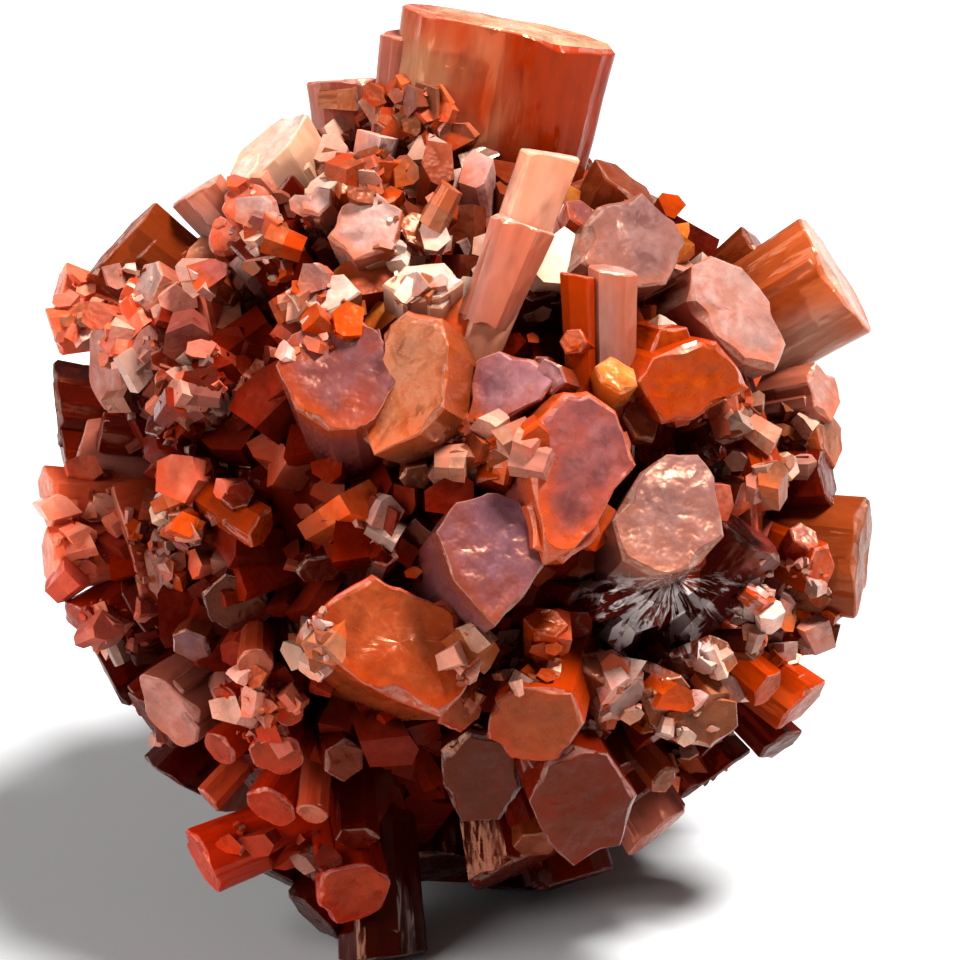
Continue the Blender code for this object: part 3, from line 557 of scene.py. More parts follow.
def back_prisms():
    """The crystals that the viewer doesn't see: the back, the far halves of the sides and the underside."""
    random = np.random.default_rng(11)
    prisms = []
    for way in spiral(BACK_CRYSTALS):
        across = BACK_ACROSS[0] + (BACK_ACROSS[1] - BACK_ACROSS[0]) * random.random() ** 1.5
        reach = skyline_reach(way, across / 2) * random.uniform(*BACK_SHARE)
        prism = leaning_prism(random, way, reach, across, random.uniform(*BACK_SLIM), LEAN_BACK)
        if way.dot(TOWARD) < random.uniform(*BACK_FACING):
            prisms.append(prism)
    return prisms


def standing_prisms():
    """The crystals on which the cluster stands, sunk into the floor plane by what is worn off them."""
    random = np.random.default_rng(8)
    prisms = []
    for x, y, across in STANDING:
        tip = Vector((x * MM, y * MM, -STANDING_SINK))
        way = tip - BALL_CENTRE
        axis = way.normalized()
        rim = six_corners(random, axis, axis.orthogonal().normalized(), across * MM, STANDING_SLIM)
        prisms.append(Prism(tip, axis, rim, way.length * ROOT_DEPTH, "dusk"))
    return prisms


def crown_prisms():
    """The crystals of the crown, which the viewer sees only slantwise."""
    random = np.random.default_rng(21)
    prisms = []
    for way in spiral(CROWN_CRYSTALS):
        if way.z > CROWN_FROM and way.dot(TOWARD) > BACK_FACING[1]:
            across = random.uniform(*CROWN_ACROSS)
            reach = random.uniform(*CROWN_REACH)
            prism = leaning_prism(random, way, reach, across, random.uniform(*STOUT_SLIM), LEAN_BACK)
            if not covers(way, reach, across / 2):
                prisms.append(prism)
    return prisms


def small_prisms():
    """The short crystals that fill the gaps between the large ones, all round."""
    random = np.random.default_rng(5)
    prisms = []
    for way in spiral(SMALL_CRYSTALS):
        across = random.uniform(*SMALL_ACROSS)
        reach = min(random.uniform(*SMALL_REACH), skyline_reach(way, across / 2))
        prism = leaning_prism(random, way, reach, across, random.uniform(*STOUT_SLIM), LEAN_SMALL)
        if not covers(way, reach, across / 2):
            prisms.append(prism)
    return prisms


def satellites(random, prism, few, tall):
    """Thinner crystals grown parallel to a large one and into it. They end below its tip's face, and make
    its sides stepped. Where tall is true, some stand a little above it. few is the most there may be."""
    across = 2 * max(corner.length for corner in prism.rim)
    count = min(few, int(across / SATELLITE_EVERY))
    broad = prism.rim[0].normalized()
    for _ in range(count):
        corner = prism.rim[random.integers(len(prism.rim))]
        other = prism.rim[random.integers(len(prism.rim))]
        place = (corner.lerp(other, 0.35 * random.random())) * random.uniform(*SATELLITE_PLACE)
        width = across * random.uniform(*SATELLITE_ACROSS)
        if tall and random.random() < STANDS_ABOVE_SHARE:
            below = -random.uniform(*STANDS_ABOVE)
        else:
            below = min(prism.length * 0.4, random.exponential(ENDS_BELOW) * across + ENDS_BELOW_LEAST)
        turned = Matrix.Rotation(random.uniform(-SATELLITE_TURN, SATELLITE_TURN), 3, prism.axis) @ broad
        rim = six_corners(random, prism.axis, turned, width, random.uniform(*STOUT_SLIM))
        yield Prism(prism.tip + place - prism.axis * below, prism.axis, rim, prism.length - below, prism.look)


# ---- surfaces


def hash01(cells, seed):
    """A number from 0 to 1 for every whole cell: its three indices mixed by large primes."""
    mixed = cells[..., 0] * 73856093 ^ cells[..., 1] * 19349663 ^ cells[..., 2] * 83492791 ^ seed * 2654435
    mixed = (mixed ^ (mixed >> 13)) * 1274126177
    return ((mixed ^ (mixed >> 16)) & 0xFFFFFF) / 0xFFFFFF


def clouds(points, size, seed):
    """A smooth field from 0 to 1: a number at every corner of a cubic lattice, blended between corners by
    the S-curve 3f^2 - 2f^3 of the place f in the cell."""
    cell = points / size
    low = np.floor(cell).astype(np.int64)
    f = cell - low
    f = f * f * (3 - 2 * f)
    total = np.zeros(points.shape[:-1])
    for corner in np.ndindex(2, 2, 2):
        weight = np.where(corner, f, 1 - f).prod(axis=-1)
        total += weight * hash01(low + np.array(corner), seed)
    return total


def terraces(points, size, steps, seed):
    """Clouds cut into flat steps with short slopes between them, as worn and regrown crystal ends have."""
    field = clouds(points, size, seed) * steps
    low = np.floor(field)
    return (low + np.clip((field - low) * 4 - 1.5, 0, 1)) / steps


def linear(colour):
    """A screen colour of 0 to 255 as the light it stands for."""
    share = np.array(colour, float) / 255
    return np.where(share <= 0.04045, share / 12.92, ((share + 0.055) / 1.055) ** 2.4)


def rich(colour):
    """A screen colour as light, a little deeper: shine adds white to it again."""
    return linear(colour) ** RICHNESS


def sunk(points):
    """How far below the ball's surface points lie, in mm."""
    return (BALL_RADIUS - np.linalg.norm(points - np.array(BALL_CENTRE), axis=-1)) / MM


def painted_glow_share(offsets, axis, radius):
    """How far round a crystal a point lies from the side that is turned to the light: 0 to 1. The material
    paints crystals clearer and brighter there: painted light, standing for light that has gone through them."""
    across = LIGHT_FROM - axis * (axis @ LIGHT_FROM)
    return np.clip(0.5 - 0.5 * (offsets @ across) / (radius * np.linalg.norm(across)), 0, 1)


def round_the_rim(rim, step, worn):
    """The closed outline through a crystal's corners at about even steps. Each point is then the mean of
    its neighbours on both sides, as far as a share of the whole outline, which wears the corners round."""
    rim = np.array(rim)
    ahead = np.roll(rim, -1, axis=0)
    counts = np.maximum(1, np.round(np.linalg.norm(ahead - rim, axis=1) / step).astype(int))
    side = np.repeat(np.arange(len(rim)), counts)
    share = np.concatenate([np.arange(n) / n for n in counts])[:, None]
    points = rim[side] * (1 - share) + ahead[side] * share
    reach = int(round(worn * len(points)))
    return sum(np.roll(points, i, axis=0) for i in range(-reach, reach + 1)) / (2 * reach + 1)


def closed_grid(rows, columns):
    """The faces of a closed grid of points, round by up: two triangles in each cell, and a fan that closes
    the last ring to the first point after the grid, and the first ring to the second."""
    grid = np.arange(rows * columns).reshape(rows, columns)
    a, b = grid[:-1], np.roll(grid, -1, axis=1)[:-1]
    c, d = np.roll(grid, -1, axis=1)[1:], grid[1:]
    end, root = rows * columns, rows * columns + 1
    return np.concatenate([
        np.stack([a, b, c], -1).reshape(-1, 3),
        np.stack([a, c, d], -1).reshape(-1, 3),
        np.stack([grid[-1], np.roll(grid[-1], -1), np.full(columns, end)], -1),
        np.stack([np.roll(grid[0], -1), grid[0], np.full(columns, root)], -1),
    ])


def crystal_surface(prism, seed, step, rings):
    """One crystal as a closed grid of points: round it by up it.

    Round: its outline, set in by ribs, whose depth is a field of the place round the outline alone.
    Up: rings from the root to the rim, each the outline times a share that grows from ROOT_SHARE to 1,
    then rings on the tip's face, each the outline times a falling share. Between the two lies a chipped
    rim, whose width is a field of the place round the outline. Terraces lift the face along the axis, and
    the face of a small crystal slants. A face traced with more than six corners keeps them sharp. A tip
    below the floor plane is slid back along the axis to that plane, where it is worn flat.

    Returns the points, the faces, and for each point: its place (mm below the ball's surface, nearness to
    the rim, 1 on the tip's face), its grain (mm across and along the crystal) and its glow: how much
    painted light it gets, most on the side away from the light."""
    tip, axis = np.array(prism.tip), np.array(prism.axis)
    worn = WORN.get(prism.look, WORN_ELSE) if len(prism.rim) == CORNERS else WORN_TRACED
    outline = round_the_rim(prism.rim, step, worn)
    radius = np.linalg.norm(outline, axis=1)
    across = 2 * radius.max()
    offset = np.array([seed * 7.3, seed * 3.1, seed * 1.7]) * MM
    ribs = clouds(outline + offset, RIB_SIZE * across + 0.2 * MM, seed) ** 2 * RIB_DEPTH
    bites = np.maximum(0, clouds(outline + offset, BITE_SIZE * across, seed + 1) - BITE_FROM)
    inset = 1 - ribs - bites * BITE_STEEPNESS * BITE_DEPTH
    chip = RIM_CHIP * across * clouds(outline + offset, CHIP_SIZE * across, seed + 5) ** 3 + RIM_BEVEL
    chip = np.minimum(chip, 0.25 * radius)

    rise = np.linspace(0, 1, rings) ** 0.7
    along = np.concatenate([-prism.length * (1 - rise), np.zeros(len(END_RINGS))])
    share = np.concatenate([ROOT_SHARE + (1 - ROOT_SHARE) * rise, END_RINGS])
    growth = 1 - RING_SHRINK * hash01(np.arange(len(along))[:, None] * np.array([3, 5, 7]), seed + 2)
    growth[rings:] = growth[rings - 1]
    flat = outline[None] * (inset[None] * (share * growth)[:, None])[:, :, None]
    flat[rings:] *= (1 - chip / radius)[None, :, None]

    face = np.concatenate([np.zeros(rings), 1 - np.array(END_RINGS) ** 6 + 0.25])[:, None]
    lift = terraces(flat + offset, TERRACE_SIZE * across, TERRACE_STEPS, seed + 3)
    lift = lift + LUMP_SHARE * clouds(flat + offset, LUMP_SIZE * across, seed + 4)
    lift = (lift - 0.7) * END_RELIEF * across * np.minimum(1, face)
    lift[:rings] -= chip
    broad = outline[0] / radius[0]
    narrow = np.cross(axis, broad)
    if across < SLANTED_BELOW:
        lean = (hash01(np.array([[seed, 3, 5], [seed, 7, 11]]), 9) - 0.5) * END_SLANT
        lift[rings - 1:] += (flat @ broad * lean[0] + flat @ narrow * lean[1])[rings - 1:]
    points = tip + flat + axis * (along[:, None] + lift)[:, :, None]
    low = points[:, :, 2] < 0
    if low.any():
        back = np.where(low, points[:, :, 2] / axis[2], 0)
        points = points - axis * back[:, :, None]

    rows, columns = points.shape[:2]
    middles = np.stack([points[-1].mean(0), points[0].mean(0)])
    points = np.concatenate([points.reshape(-1, 3), middles])

    on_end = np.broadcast_to((np.arange(rows) >= rings)[:, None], (rows, columns)).reshape(-1)
    edge = np.concatenate([np.exp(along[:rings] / RIM_GLOW), share[rings:]])
    edge = np.broadcast_to(edge[:, None], (rows, columns)).reshape(-1)
    place = np.stack([
        sunk(points),
        np.concatenate([edge, [0, 0]]),
        np.concatenate([on_end, [1, 0]]),
    ], -1)
    local = points - tip
    grain = np.stack([local @ broad, local @ narrow, local @ axis], -1) / MM + seed * 1.37
    return points, closed_grid(rows, columns), place, grain, painted_glow_share(local, axis, radius.max())


def small_crystals(middles, axes, widths, lengths, seed):
    """Many six-sided prisms at once, with uneven corners: corner k of a prism is its width times a share
    at the angle 60 k + its own turn, at the tip and, narrower, at the root."""
    random = np.random.default_rng(seed)
    count = len(middles)
    helper = np.where(np.abs(axes[:, 2:]) < 0.9, [[0, 0, 1]], [[1, 0, 0]])
    broad = np.cross(axes, helper)
    broad /= np.linalg.norm(broad, axis=1, keepdims=True)
    narrow = np.cross(axes, broad)
    turn = random.uniform(0, 2 * math.pi, (count, 1)) + np.arange(6) * math.pi / 3
    turn = turn + random.uniform(-SMALL_TURN, SMALL_TURN, (count, 6))
    swell = widths[:, None] / 2 * random.uniform(*SMALL_SWELL, (count, 6))
    slim = random.uniform(*SMALL_SLIM, (count, 1))
    across = (
        broad[:, None] * (swell * np.cos(turn))[:, :, None]
        + narrow[:, None] * (swell * slim * np.sin(turn))[:, :, None]
    )
    slope = random.uniform(-SMALL_SLANT, SMALL_SLANT, (count, 1)) * np.cos(turn) * swell
    top = middles[:, None] + across + axes[:, None] * slope[:, :, None]
    bottom = middles[:, None] + across * SMALL_ROOT - axes[:, None] * lengths[:, None, None]
    points = np.concatenate([top, bottom], axis=1)
    points[:, :, 2] = np.maximum(points[:, :, 2], 0)
    k = np.arange(6)
    n = (k + 1) % 6
    one = np.concatenate([
        np.stack([k + 6, n + 6, n], -1),
        np.stack([k + 6, n, k], -1),
        [[0, i, i + 1] for i in range(1, 5)],
        [[6, i + 7, i + 6] for i in range(1, 5)],
    ])
    faces = (one[None] + 12 * np.arange(count)[:, None, None]).reshape(-1, 3)
    place = np.zeros((count, 12, 3))
    place[:, :, 0] = sunk(points)
    place[:, :6, 1:] = 1
    local = points - middles[:, None]
    grain = np.stack([(local * d[:, None]).sum(-1) for d in (broad, narrow, axes)], -1) / MM
    grain += 1.37 * np.arange(count)[:, None, None]
    # The painted glow: light painted on the side of each crystal that is away from LIGHT_FROM.
    glow = np.clip(0.5 - (local @ LIGHT_FROM) / widths[:, None], 0, 1)
    return points.reshape(-1, 3), faces, place.reshape(-1, 3), grain.reshape(-1, 3), glow.reshape(-1)


def heart_surface():
    """The massive middle: a ball whose radius is HEART_RADIUS plus clouds times HEART_RELIEF."""
    columns, rows = HEART_GRID
    turn = 2 * math.pi * np.arange(columns) / columns
    climb = (math.pi * np.arange(1, rows) / rows)[:, None]
    way = np.stack([
        np.sin(climb) * np.cos(turn), np.sin(climb) * np.sin(turn), -np.cos(climb) * np.ones(columns),
    ], -1)
    radius = HEART_RADIUS + HEART_RELIEF * (2 * clouds(way, 0.22, 4) - 1)
    points = np.array(BALL_CENTRE) + way * radius[:, :, None]
    faces = closed_grid(*points.shape[:2])
    poles = np.array(BALL_CENTRE) + np.array([[0, 0, HEART_RADIUS], [0, 0, -HEART_RADIUS]])
    points = np.concatenate([points.reshape(-1, 3), poles])
    # The heart counts 3 mm deeper than it lies, so that the painted shade of the gaps makes it darker.
    place = np.stack([sunk(points) + 3, 0 * points[:, 0], 0 * points[:, 0]], -1)
    return points, faces, place, points / MM, 0 * points[:, 0]


class Growth:
    """Collects surfaces and their colours, and makes them one mesh."""

    def __init__(self):
        self.points, self.faces, self.glows = [], [], []
        self.fields = {"place": [], "grain": [], "end": [], "inside": []}
        self.count = 0

    def add(self, surface, ends, insides):
        points, faces, place, grain, glow = surface
        self.points.append(points)
        self.faces.append(faces + self.count)
        self.count += len(points)
        self.glows.append(glow)
        self.fields["place"].append(place)
        self.fields["grain"].append(grain)
        self.fields["end"].append(np.broadcast_to(ends, (len(points), 3)))
        self.fields["inside"].append(np.broadcast_to(insides, (len(points), 3)))

    def mesh(self, name, material, sharp_from=0):
        """The mesh, with flat faces, or smooth across edges that turn by less than an angle."""
        points, faces = np.concatenate(self.points), np.concatenate(self.faces)
        data = bpy.data.meshes.new(name)
        data.vertices.add(len(points))
        data.vertices.foreach_set("co", points.astype(np.float32).ravel())
        data.loops.add(faces.size)
        data.loops.foreach_set("vertex_index", faces.astype(np.int32).ravel())
        data.polygons.add(len(faces))
        data.polygons.foreach_set("loop_start", np.arange(0, faces.size, 3, dtype=np.int32))
        for field, parts in self.fields.items():
            attribute = data.attributes.new(field, "FLOAT_VECTOR", "POINT")
            attribute.data.foreach_set("vector", np.concatenate(parts).astype(np.float32).ravel())
        glow = data.attributes.new("glow", "FLOAT", "POINT")
        glow.data.foreach_set("value", np.concatenate(self.glows).astype(np.float32))
        data.update(calc_edges=True)
        data.validate()
        if sharp_from:
            data.set_sharp_from_angle(angle=sharp_from)
        else:
            data.shade_flat()
        data.materials.append(material)
        piece = bpy.data.objects.new(name, data)
        bpy.context.scene.collection.objects.link(piece)
        return piece


# ---- the stone


class Maths:
    """Adds nodes to a material. shade() adds any node, from its settings and its sockets' values or links."""

    def __init__(self, tree):
        self.tree = tree

    def shade(self, kind, output=0, settings=(), **sockets):
        node = self.tree.nodes.new(kind)
        for name, value in dict(settings).items():
            setattr(node, name, value)
        for name, value in sockets.items():
            socket = node.inputs[int(name[1:])] if name[1:].isdigit() else node.inputs[name.replace("_", " ")]
            if isinstance(value, Value):
                self.tree.links.new(value.socket, socket)
            else:
                socket.default_value = value
        return Value(self, node.outputs[output])


class Value:
    """A socket in an expression. Operators add Math nodes."""

    def __init__(self, maths, socket):
        self.maths, self.socket = maths, socket

    def op(self, operation, *others):
        sockets = {f"i{i}": other for i, other in enumerate(others)}
        return self.maths.shade("ShaderNodeMath", 0, {"operation": operation}, **sockets)

    def __add__(self, other):
        return self.op("ADD", self, other)

    def __sub__(self, other):
        return self.op("SUBTRACT", self, other)

    def __mul__(self, other):
        return self.op("MULTIPLY", self, other)

    def __truediv__(self, other):
        return self.op("DIVIDE", self, other)

    def __rsub__(self, other):
        return self.op("SUBTRACT", other, self)

    def __rtruediv__(self, other):
        return self.op("DIVIDE", other, self)

    def __pow__(self, other):
        return self.op("POWER", self, other)

    __radd__, __rmul__ = __add__, __mul__

    def slope(self, low, high):
        """0 below low, 1 above high, smooth between them."""
        return self.maths.shade(
            "ShaderNodeMapRange", 0, {"interpolation_type": "SMOOTHSTEP"}, i0=self, i1=low, i2=high)


def mix(maths, share, first, second, blend="MIX"):
    """One colour turned into another by a share of 0 to 1."""
    return maths.shade(
        "ShaderNodeMix", 2, {"data_type": "RGBA", "blend_type": blend}, i0=share, i6=first, i7=second)


def feathers(m):
    """White feathers of frost: noise by the direction from FEATHER_ROOT, so that it runs outward in rays, on
    what the viewer sees below that point. Each way is counted in mm."""
    root = BALL_CENTRE + in_space(*FEATHER_ROOT) * MM
    here = m.shade("ShaderNodeTexCoord", 3)
    offset = m.shade("ShaderNodeVectorMath", 0, {"operation": "SUBTRACT"}, i0=here, i1=root)

    def along(way):
        return m.shade("ShaderNodeVectorMath", 1, {"operation": "DOT_PRODUCT"}, i0=offset, i1=way / MM)

    across, up, near = along(RIGHT), along(UP), along(TOWARD)
    far = (across * across + up * up) ** 0.5 + 0.01
    ray = m.shade(
        "ShaderNodeCombineXYZ", 0, i0=across / far * FEATHER_RAYS, i1=up / far * FEATHER_RAYS, i2=far * 0.5)
    frond = m.shade("ShaderNodeTexNoise", 0, i0=ray, Scale=1.0, Detail=3.0, Roughness=0.7, Distortion=0.5)
    fan = frond.slope(0.46, 0.58) * far.slope(FEATHER_REACH, 2.8) * far.slope(0.2, 1.4)
    return fan * up.slope(0.6, -1.2) * near.slope(-9.0, -5.0)


def stone_material(name, clear, shine, rim):
    """Aragonite. The end is frosted: a pale film, thinner where the inside shows, with pale lumps. The side
    shows the inside: splinters along the crystal. Both have painted light, bright under the end and on the
    side away from the light, and painted shade, deep red, far below the ball's surface. Both break up into
    facets: cells that are tilted at random.
    clear: the share that light goes through. shine: the strength of the gloss. rim: how pale the rims are
    painted: partly wear, partly a painted highlight."""
    material = bpy.data.materials.new(name)
    material.use_nodes = True
    tree = material.node_tree
    shader = tree.nodes["Principled BSDF"]
    m = Maths(tree)

    def attribute(field, output=1):
        return m.shade("ShaderNodeAttribute", output, {"attribute_name": field})

    def vector(operation, *inputs):
        sockets = {f"i{i}": value for i, value in enumerate(inputs)}
        return m.shade("ShaderNodeVectorMath", 0, {"operation": operation}, **sockets)

    def noise(where, scale, detail, rough):
        return m.shade("ShaderNodeTexNoise", 0, i0=where, Scale=scale, Detail=detail, Roughness=rough)

    def drawn_out(share):
        """The grain's place, whose third part counts for a share of itself on the sides."""
        along = on_end * (1 - share) + share
        return vector("MULTIPLY", grain, m.shade("ShaderNodeCombineXYZ", 0, i0=1.0, i1=1.0, i2=along))

    def cells(where, scale):
        """A random number for each cell, and a random direction for it."""
        number = m.shade("ShaderNodeTexVoronoi", 1, i0=where, Scale=scale)
        return m.shade("ShaderNodeSeparateXYZ", 0, i0=number), vector("SUBTRACT", number, (0.5, 0.5, 0.5))

    place, grain, glow = attribute("place"), attribute("grain"), attribute("glow", 2)
    film, inside = attribute("end", 0), attribute("inside", 0)
    parts = m.shade("ShaderNodeSeparateXYZ", 0, i0=place).socket.node.outputs
    depth, edge, end = (Value(m, part) for part in parts)

    on_end = end.op("GREATER_THAN", end, 0.5)
    long, soft = drawn_out(SPLINTER_SHARE), drawn_out(PATCH_SHARE)
    plates, plate_way = cells(long, PLATES)
    flakes, flake_way = cells(long, FLAKES)
    clouds_in = noise(soft, PATCHES, 2.0, 0.5)
    lumps = noise(soft, LUMPS, 2.0, 0.6)
    bevel = (end * (1 - end) * 4).slope(0.1, 0.8)

    deep, frost, white = ((*linear(one), 1) for one in (DEEP_RED_AND_SHADE, FROST_COLOUR, FEATHER_COLOUR))
    bright = mix(m, 1.0, inside, (1.3, 1.3, 1.2, 1), "MULTIPLY")
    veil = mix(m, 1.0, film, film, "SCREEN")

    # The tip's face: the film, with patches of the inside and of deep red, and the veil on lumps. Painted
    # light: more of the inside near the rim and on the side away from the light, and a glow at the rim there.
    # Painted shade: deep red down in the gaps.
    ends = mix(m, (clouds_in + glow * 0.35 + edge * 0.15).slope(0.45, 1.15) * 0.9, film, inside)
    ends = mix(m, (clouds_in + flakes * 0.06).slope(0.54, 0.30) * 0.45, ends, deep)
    ends = mix(m, (lumps + plates * 0.16).slope(0.46, 0.95) * 0.55, ends, veil)
    ends = mix(m, edge.slope(0.60, 1.0) * glow.slope(0.35, 1.0) * 0.9, ends, bright)
    ends = mix(m, depth.slope(0.8, 5.5) * 0.8, ends, deep)

    # The sides: the inside, with frost in patches, deep red in splinters, which is stronger on what stands
    # out of the ball. Painted light: more of the frost on the side away from the light, and a glow under the
    # rim. Painted shade: deep red down in the gaps.
    sides = mix(m, (clouds_in * 0.7 + glow * 0.55 + plates * 0.05).slope(0.45, 0.95) * 0.75, inside, film)
    high = (depth * -0.12).slope(0.0, 0.5)
    sides = mix(m, (lumps + plates * 0.05).slope(0.46, 0.90) * (high * 0.35 + 0.35), sides, deep)
    sides = mix(m, edge.slope(0.1, 1.0) * (glow * 0.5 + 0.3), sides, bright)
    sides = mix(m, depth.slope(0.0, 6.0) * 0.88, sides, deep)

    colour = mix(m, on_end, sides, ends)
    # Pale rims: partly wear, partly a painted highlight in the brightened inside colour and frost.
    colour = mix(m, bevel * flakes * rim, colour, mix(m, 0.5, bright, frost))
    colour = mix(m, feathers(m), colour, white)

    rough = on_end * 0.14 + lumps * 0.18 + flakes * 0.10 + 0.02
    outward = m.shade("ShaderNodeNewGeometry", 1)
    tilt = vector("MULTIPLY", vector("ADD", plate_way, flake_way), (FACET_TILT,) * 3)
    facet = vector("NORMALIZE", vector("ADD", outward, tilt))
    bump = m.shade("ShaderNodeBump", 0, Strength=1.0, Distance=MM, Height=lumps * LUMP_HEIGHT, Normal=facet)

    for value, socket in ((colour, "Base Color"), (rough, "Roughness"), (bump, "Normal")):
        tree.links.new(value.socket, shader.inputs[socket])
    for socket, value in (
        ("IOR", STONE_IOR), ("Specular IOR Level", shine), ("Specular Tint", GLOSS_TINT),
        ("Transmission Weight", clear),
    ):
        shader.inputs[socket].default_value = value
    return material


# ---- the pieces


def varied(random, look, amount=0.16):
    """The two colours of a look, a little lighter or darker."""
    end, inside = (rich(colour) for colour in LOOKS[look])
    light = 1 + random.uniform(-amount, amount)
    return np.minimum(1, end * light), np.minimum(1, inside * light)


def grow(name, prisms, step, rings, seed, tall, material):
    """Large crystals with the thinner ones grown into them, as one mesh."""
    growth = Growth()
    random = np.random.default_rng(seed)
    for number, prism in enumerate(prisms):
        colours = varied(random, prism.look)
        across = 2 * max(corner.length for corner in prism.rim)
        if across > SATELLITES_FROM:
            few = SATELLITES_ON_LARGE if across > LARGE_FROM else SATELLITES_MOST
            for satellite in satellites(random, prism, few, tall):
                own_seed = seed + 1000 + int(random.integers(9000))
                surface = crystal_surface(satellite, own_seed, COARSE_STEP, SATELLITE_RINGS)
                growth.add(surface, *varied(random, prism.look))
        own_step = step if across > FINE_FROM else min(step, MIDDLE_STEP)
        growth.add(crystal_surface(prism, seed + number, own_step, rings), *colours)
    return growth.mesh(name, material, SHARP_FROM)


def strike(origin, way):
    """The first point of the grown crystals on a ray, and its outward direction, or None."""
    hit, point, normal, *_ = bpy.context.scene.ray_cast(
        bpy.context.evaluated_depsgraph_get(), Vector(origin), Vector(way))
    return (np.array(point), np.array(normal)) if hit else None


def unit(vectors):
    """Vectors made 1 long."""
    return vectors / np.linalg.norm(vectors, axis=-1, keepdims=True)


def scattered(name, spots, seed, material, palest):
    """Small crystals at spots: each is a point, an axis, a width, a length and a look."""
    growth = Growth()
    random = np.random.default_rng(seed)
    for look in sorted({spot[4] for spot in spots}):
        own = [spot for spot in spots if spot[4] == look]
        middles, axes = np.array([s[0] for s in own]), unit(np.array([s[1] for s in own]))
        widths, lengths = np.array([s[2] for s in own]), np.array([s[3] for s in own])
        surface = small_crystals(middles, axes, widths, lengths, seed)
        light = np.repeat(random.uniform(*SMALL_LIGHT, len(own)), 12)[:, None]
        pale = palest * np.repeat(random.random(len(own)) ** 4, 12)[:, None]
        frosted = (rich(colour) + pale * (rich(FROST_COLOUR) - rich(colour)) for colour in LOOKS[look])
        growth.add(surface, *(np.minimum(1, light * colour) for colour in frosted))
    return growth.mesh(name, material)


def crumb_spots():
    """Crumbs on what the viewer sees in each of the CRUMBS patches, and in patches on the other sides."""
    random = np.random.default_rng(31)
    spots = []
    for right, up, wide, high, count, looks in CRUMBS:
        for _ in range(count):
            turn, out = random.uniform(0, 2 * math.pi), math.sqrt(random.random())
            x, y = right + wide * out * math.cos(turn), up + high * out * math.sin(turn)
            found = strike(seen_place(x * MM, y * MM, 0)[0] + TOWARD * IN_FRONT, -TOWARD)
            if found:
                spots.append(crumb(random, *found, looks))
    for way in spiral(BACK_CRUMB_SPOTS * 2):
        if way.dot(TOWARD) < -0.1:
            for _ in range(BACK_CRUMBS):
                near = unit(np.array(way) + random.normal(0, 0.11, 3))
                found = strike(np.array(BALL_CENTRE) + near * OUTSIDE, -near)
                if found and sunk(found[0]) > -1.0:
                    spots.append(crumb(random, *found, BACK_CRUMBS_LOOKS))
    return spots


def crumb(random, point, normal, looks):
    """A short crystal, as wide as it is long, on a surface."""
    size = CRUMB_SIZE[0] + (CRUMB_SIZE[1] - CRUMB_SIZE[0]) * random.random() ** 2.6
    axis = unit(normal + random.normal(0, 0.40, 3))
    middle = point + normal * size * random.uniform(-0.1, 0.4)
    return middle, axis, size, size * random.uniform(0.7, 1.1), looks[random.integers(len(looks))]


def druse_spots():
    """Small crystals in the gaps: rays from all sides that end below DRUSE_BELOW find the gaps' floors."""
    random = np.random.default_rng(41)
    spots = []
    centre = np.array(BALL_CENTRE)
    for way in spiral(DRUSE_COUNT):
        way = unit(np.array(way) + random.normal(0, 0.02, 3))
        found = strike(centre + way * OUTSIDE, -way)
        if not found:
            continue
        point, normal = found
        if np.linalg.norm(point - centre) > DRUSE_BELOW:
            continue
        width = DRUSE_SIZE[0] + (DRUSE_SIZE[1] - DRUSE_SIZE[0]) * random.random() ** 1.7
        axis = unit(way + 0.35 * normal + random.normal(0, 0.42, 3))
        rise = min(random.uniform(0.1, 0.9) * width, DRUSE_TIP - np.linalg.norm(point - centre))
        look = rule_look(Vector(way))
        spots.append((point + axis * rise, axis, width, rise + width, look))
    return spots


def make_cluster():
    """The five pieces of the cluster. The small ones are placed on the large ones, so they come last."""
    stone = stone_material("aragonite", 0.50, 0.12, 0.4)
    small = stone_material("small aragonite", 0.25, 0.14, 0.0)
    deep = stone_material("deep aragonite", 0.0, 0.04, 0.0)
    front = [broad_prism(row) for row in BROAD] + [
        front_prism(np.random.default_rng(number), row) for number, row in enumerate(FRONT)]
    rest = back_prisms() + standing_prisms() + crown_prisms() + small_prisms()
    heart = Growth()
    heart.add(heart_surface(), *varied(np.random.default_rng(1), "dark"))
    pieces = [
        heart.mesh("heart", deep),
        grow("front_crystals", front, FINE_STEP, FRONT_RINGS, 100, False, stone),
        grow("back_crystals", rest, COARSE_STEP, BACK_RINGS, 500, True, stone),
    ]
    bpy.context.view_layer.update()
    druse, crumbs = druse_spots(), crumb_spots()
    pieces.append(scattered("druse", druse, 61, deep, 0))
    pieces.append(scattered("crumbs", crumbs, 71, small, PALEST))
    for piece in pieces:
        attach(piece, "root")
        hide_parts("aragonite_cluster")
        print(piece.name, len(piece.data.polygons))


# ---- the studio

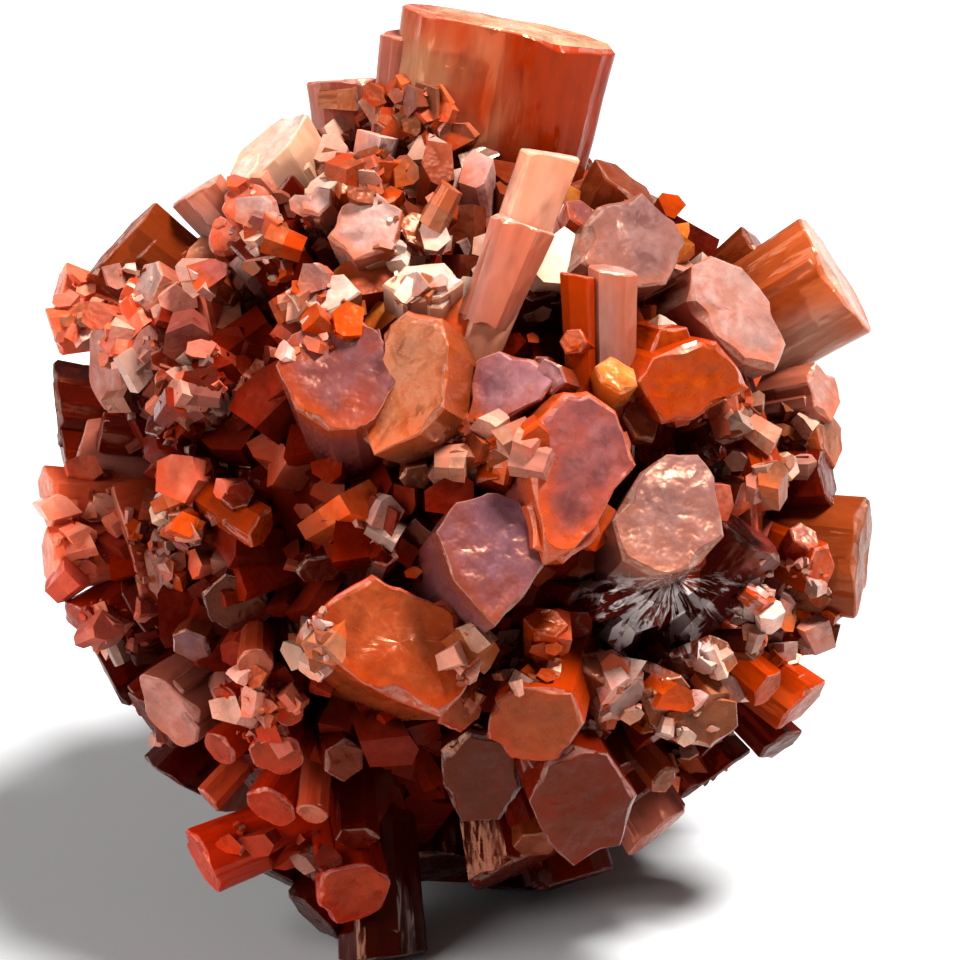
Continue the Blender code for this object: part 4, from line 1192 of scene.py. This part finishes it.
PAPER_GREY = (0.40, 0.40, 0.40, 1)
PAPER_ROUGHNESS = 0.9
PAPER_REACH = 3
ROOM_LIGHT = 0.15
# The two lights: where each comes from as the viewer sees it, its strength, and its width in degrees.
LIGHTS = {"key": ((0.42, 0.95, 0.45), 11.4, 16), "fill": ((-1.0, 0.35, 0.7), 3.8, 40)}


def studio():
    """Pale paper under the cluster, soft light from behind and from the left, and the camera."""
    scene = bpy.context.scene
    scene.view_settings.view_transform = "Standard"
    floor_mesh = bpy.data.meshes.new("floor")
    corners = [(x * PAPER_REACH, y * PAPER_REACH, 0) for x, y in ((-1, -1), (1, -1), (1, 1), (-1, 1))]
    floor_mesh.from_pydata(corners, [], [(0, 1, 2, 3)])
    floor = bpy.data.objects.new("floor", floor_mesh)
    scene.collection.objects.link(floor)
    paper = bpy.data.materials.new("paper")
    paper.use_nodes = True
    shader = paper.node_tree.nodes["Principled BSDF"]
    shader.inputs["Base Color"].default_value = PAPER_GREY
    shader.inputs["Roughness"].default_value = PAPER_ROUGHNESS
    floor_mesh.materials.append(paper)

    world = bpy.data.worlds.new("studio")
    scene.world = world
    world.use_nodes = True
    room = world.node_tree.nodes["Background"]
    room.inputs["Color"].default_value = (1, 1, 1, 1)
    room.inputs["Strength"].default_value = ROOM_LIGHT

    for name, (way, energy, angle) in LIGHTS.items():
        light = bpy.data.lights.new(name, "SUN")
        light.energy, light.angle = energy, math.radians(angle)
        lamp = bpy.data.objects.new(name, light)
        lamp.rotation_euler = in_space(*way).to_track_quat("Z", "Y").to_euler()
        scene.collection.objects.link(lamp)

    view = bpy.data.cameras.new("camera")
    view.lens, view.sensor_width, view.clip_start, view.clip_end = VIEW_LENS, 36, 0.01, 20
    camera = bpy.data.objects.new("camera", view)
    turned = Matrix((RIGHT, UP, TOWARD)).transposed().to_4x4()
    turned.translation = BALL_CENTRE + RIGHT * VIEW_OFFSET + TOWARD * VIEW_DISTANCE
    camera.matrix_world = turned
    scene.collection.objects.link(camera)
    scene.camera = camera


make_cluster()
studio()
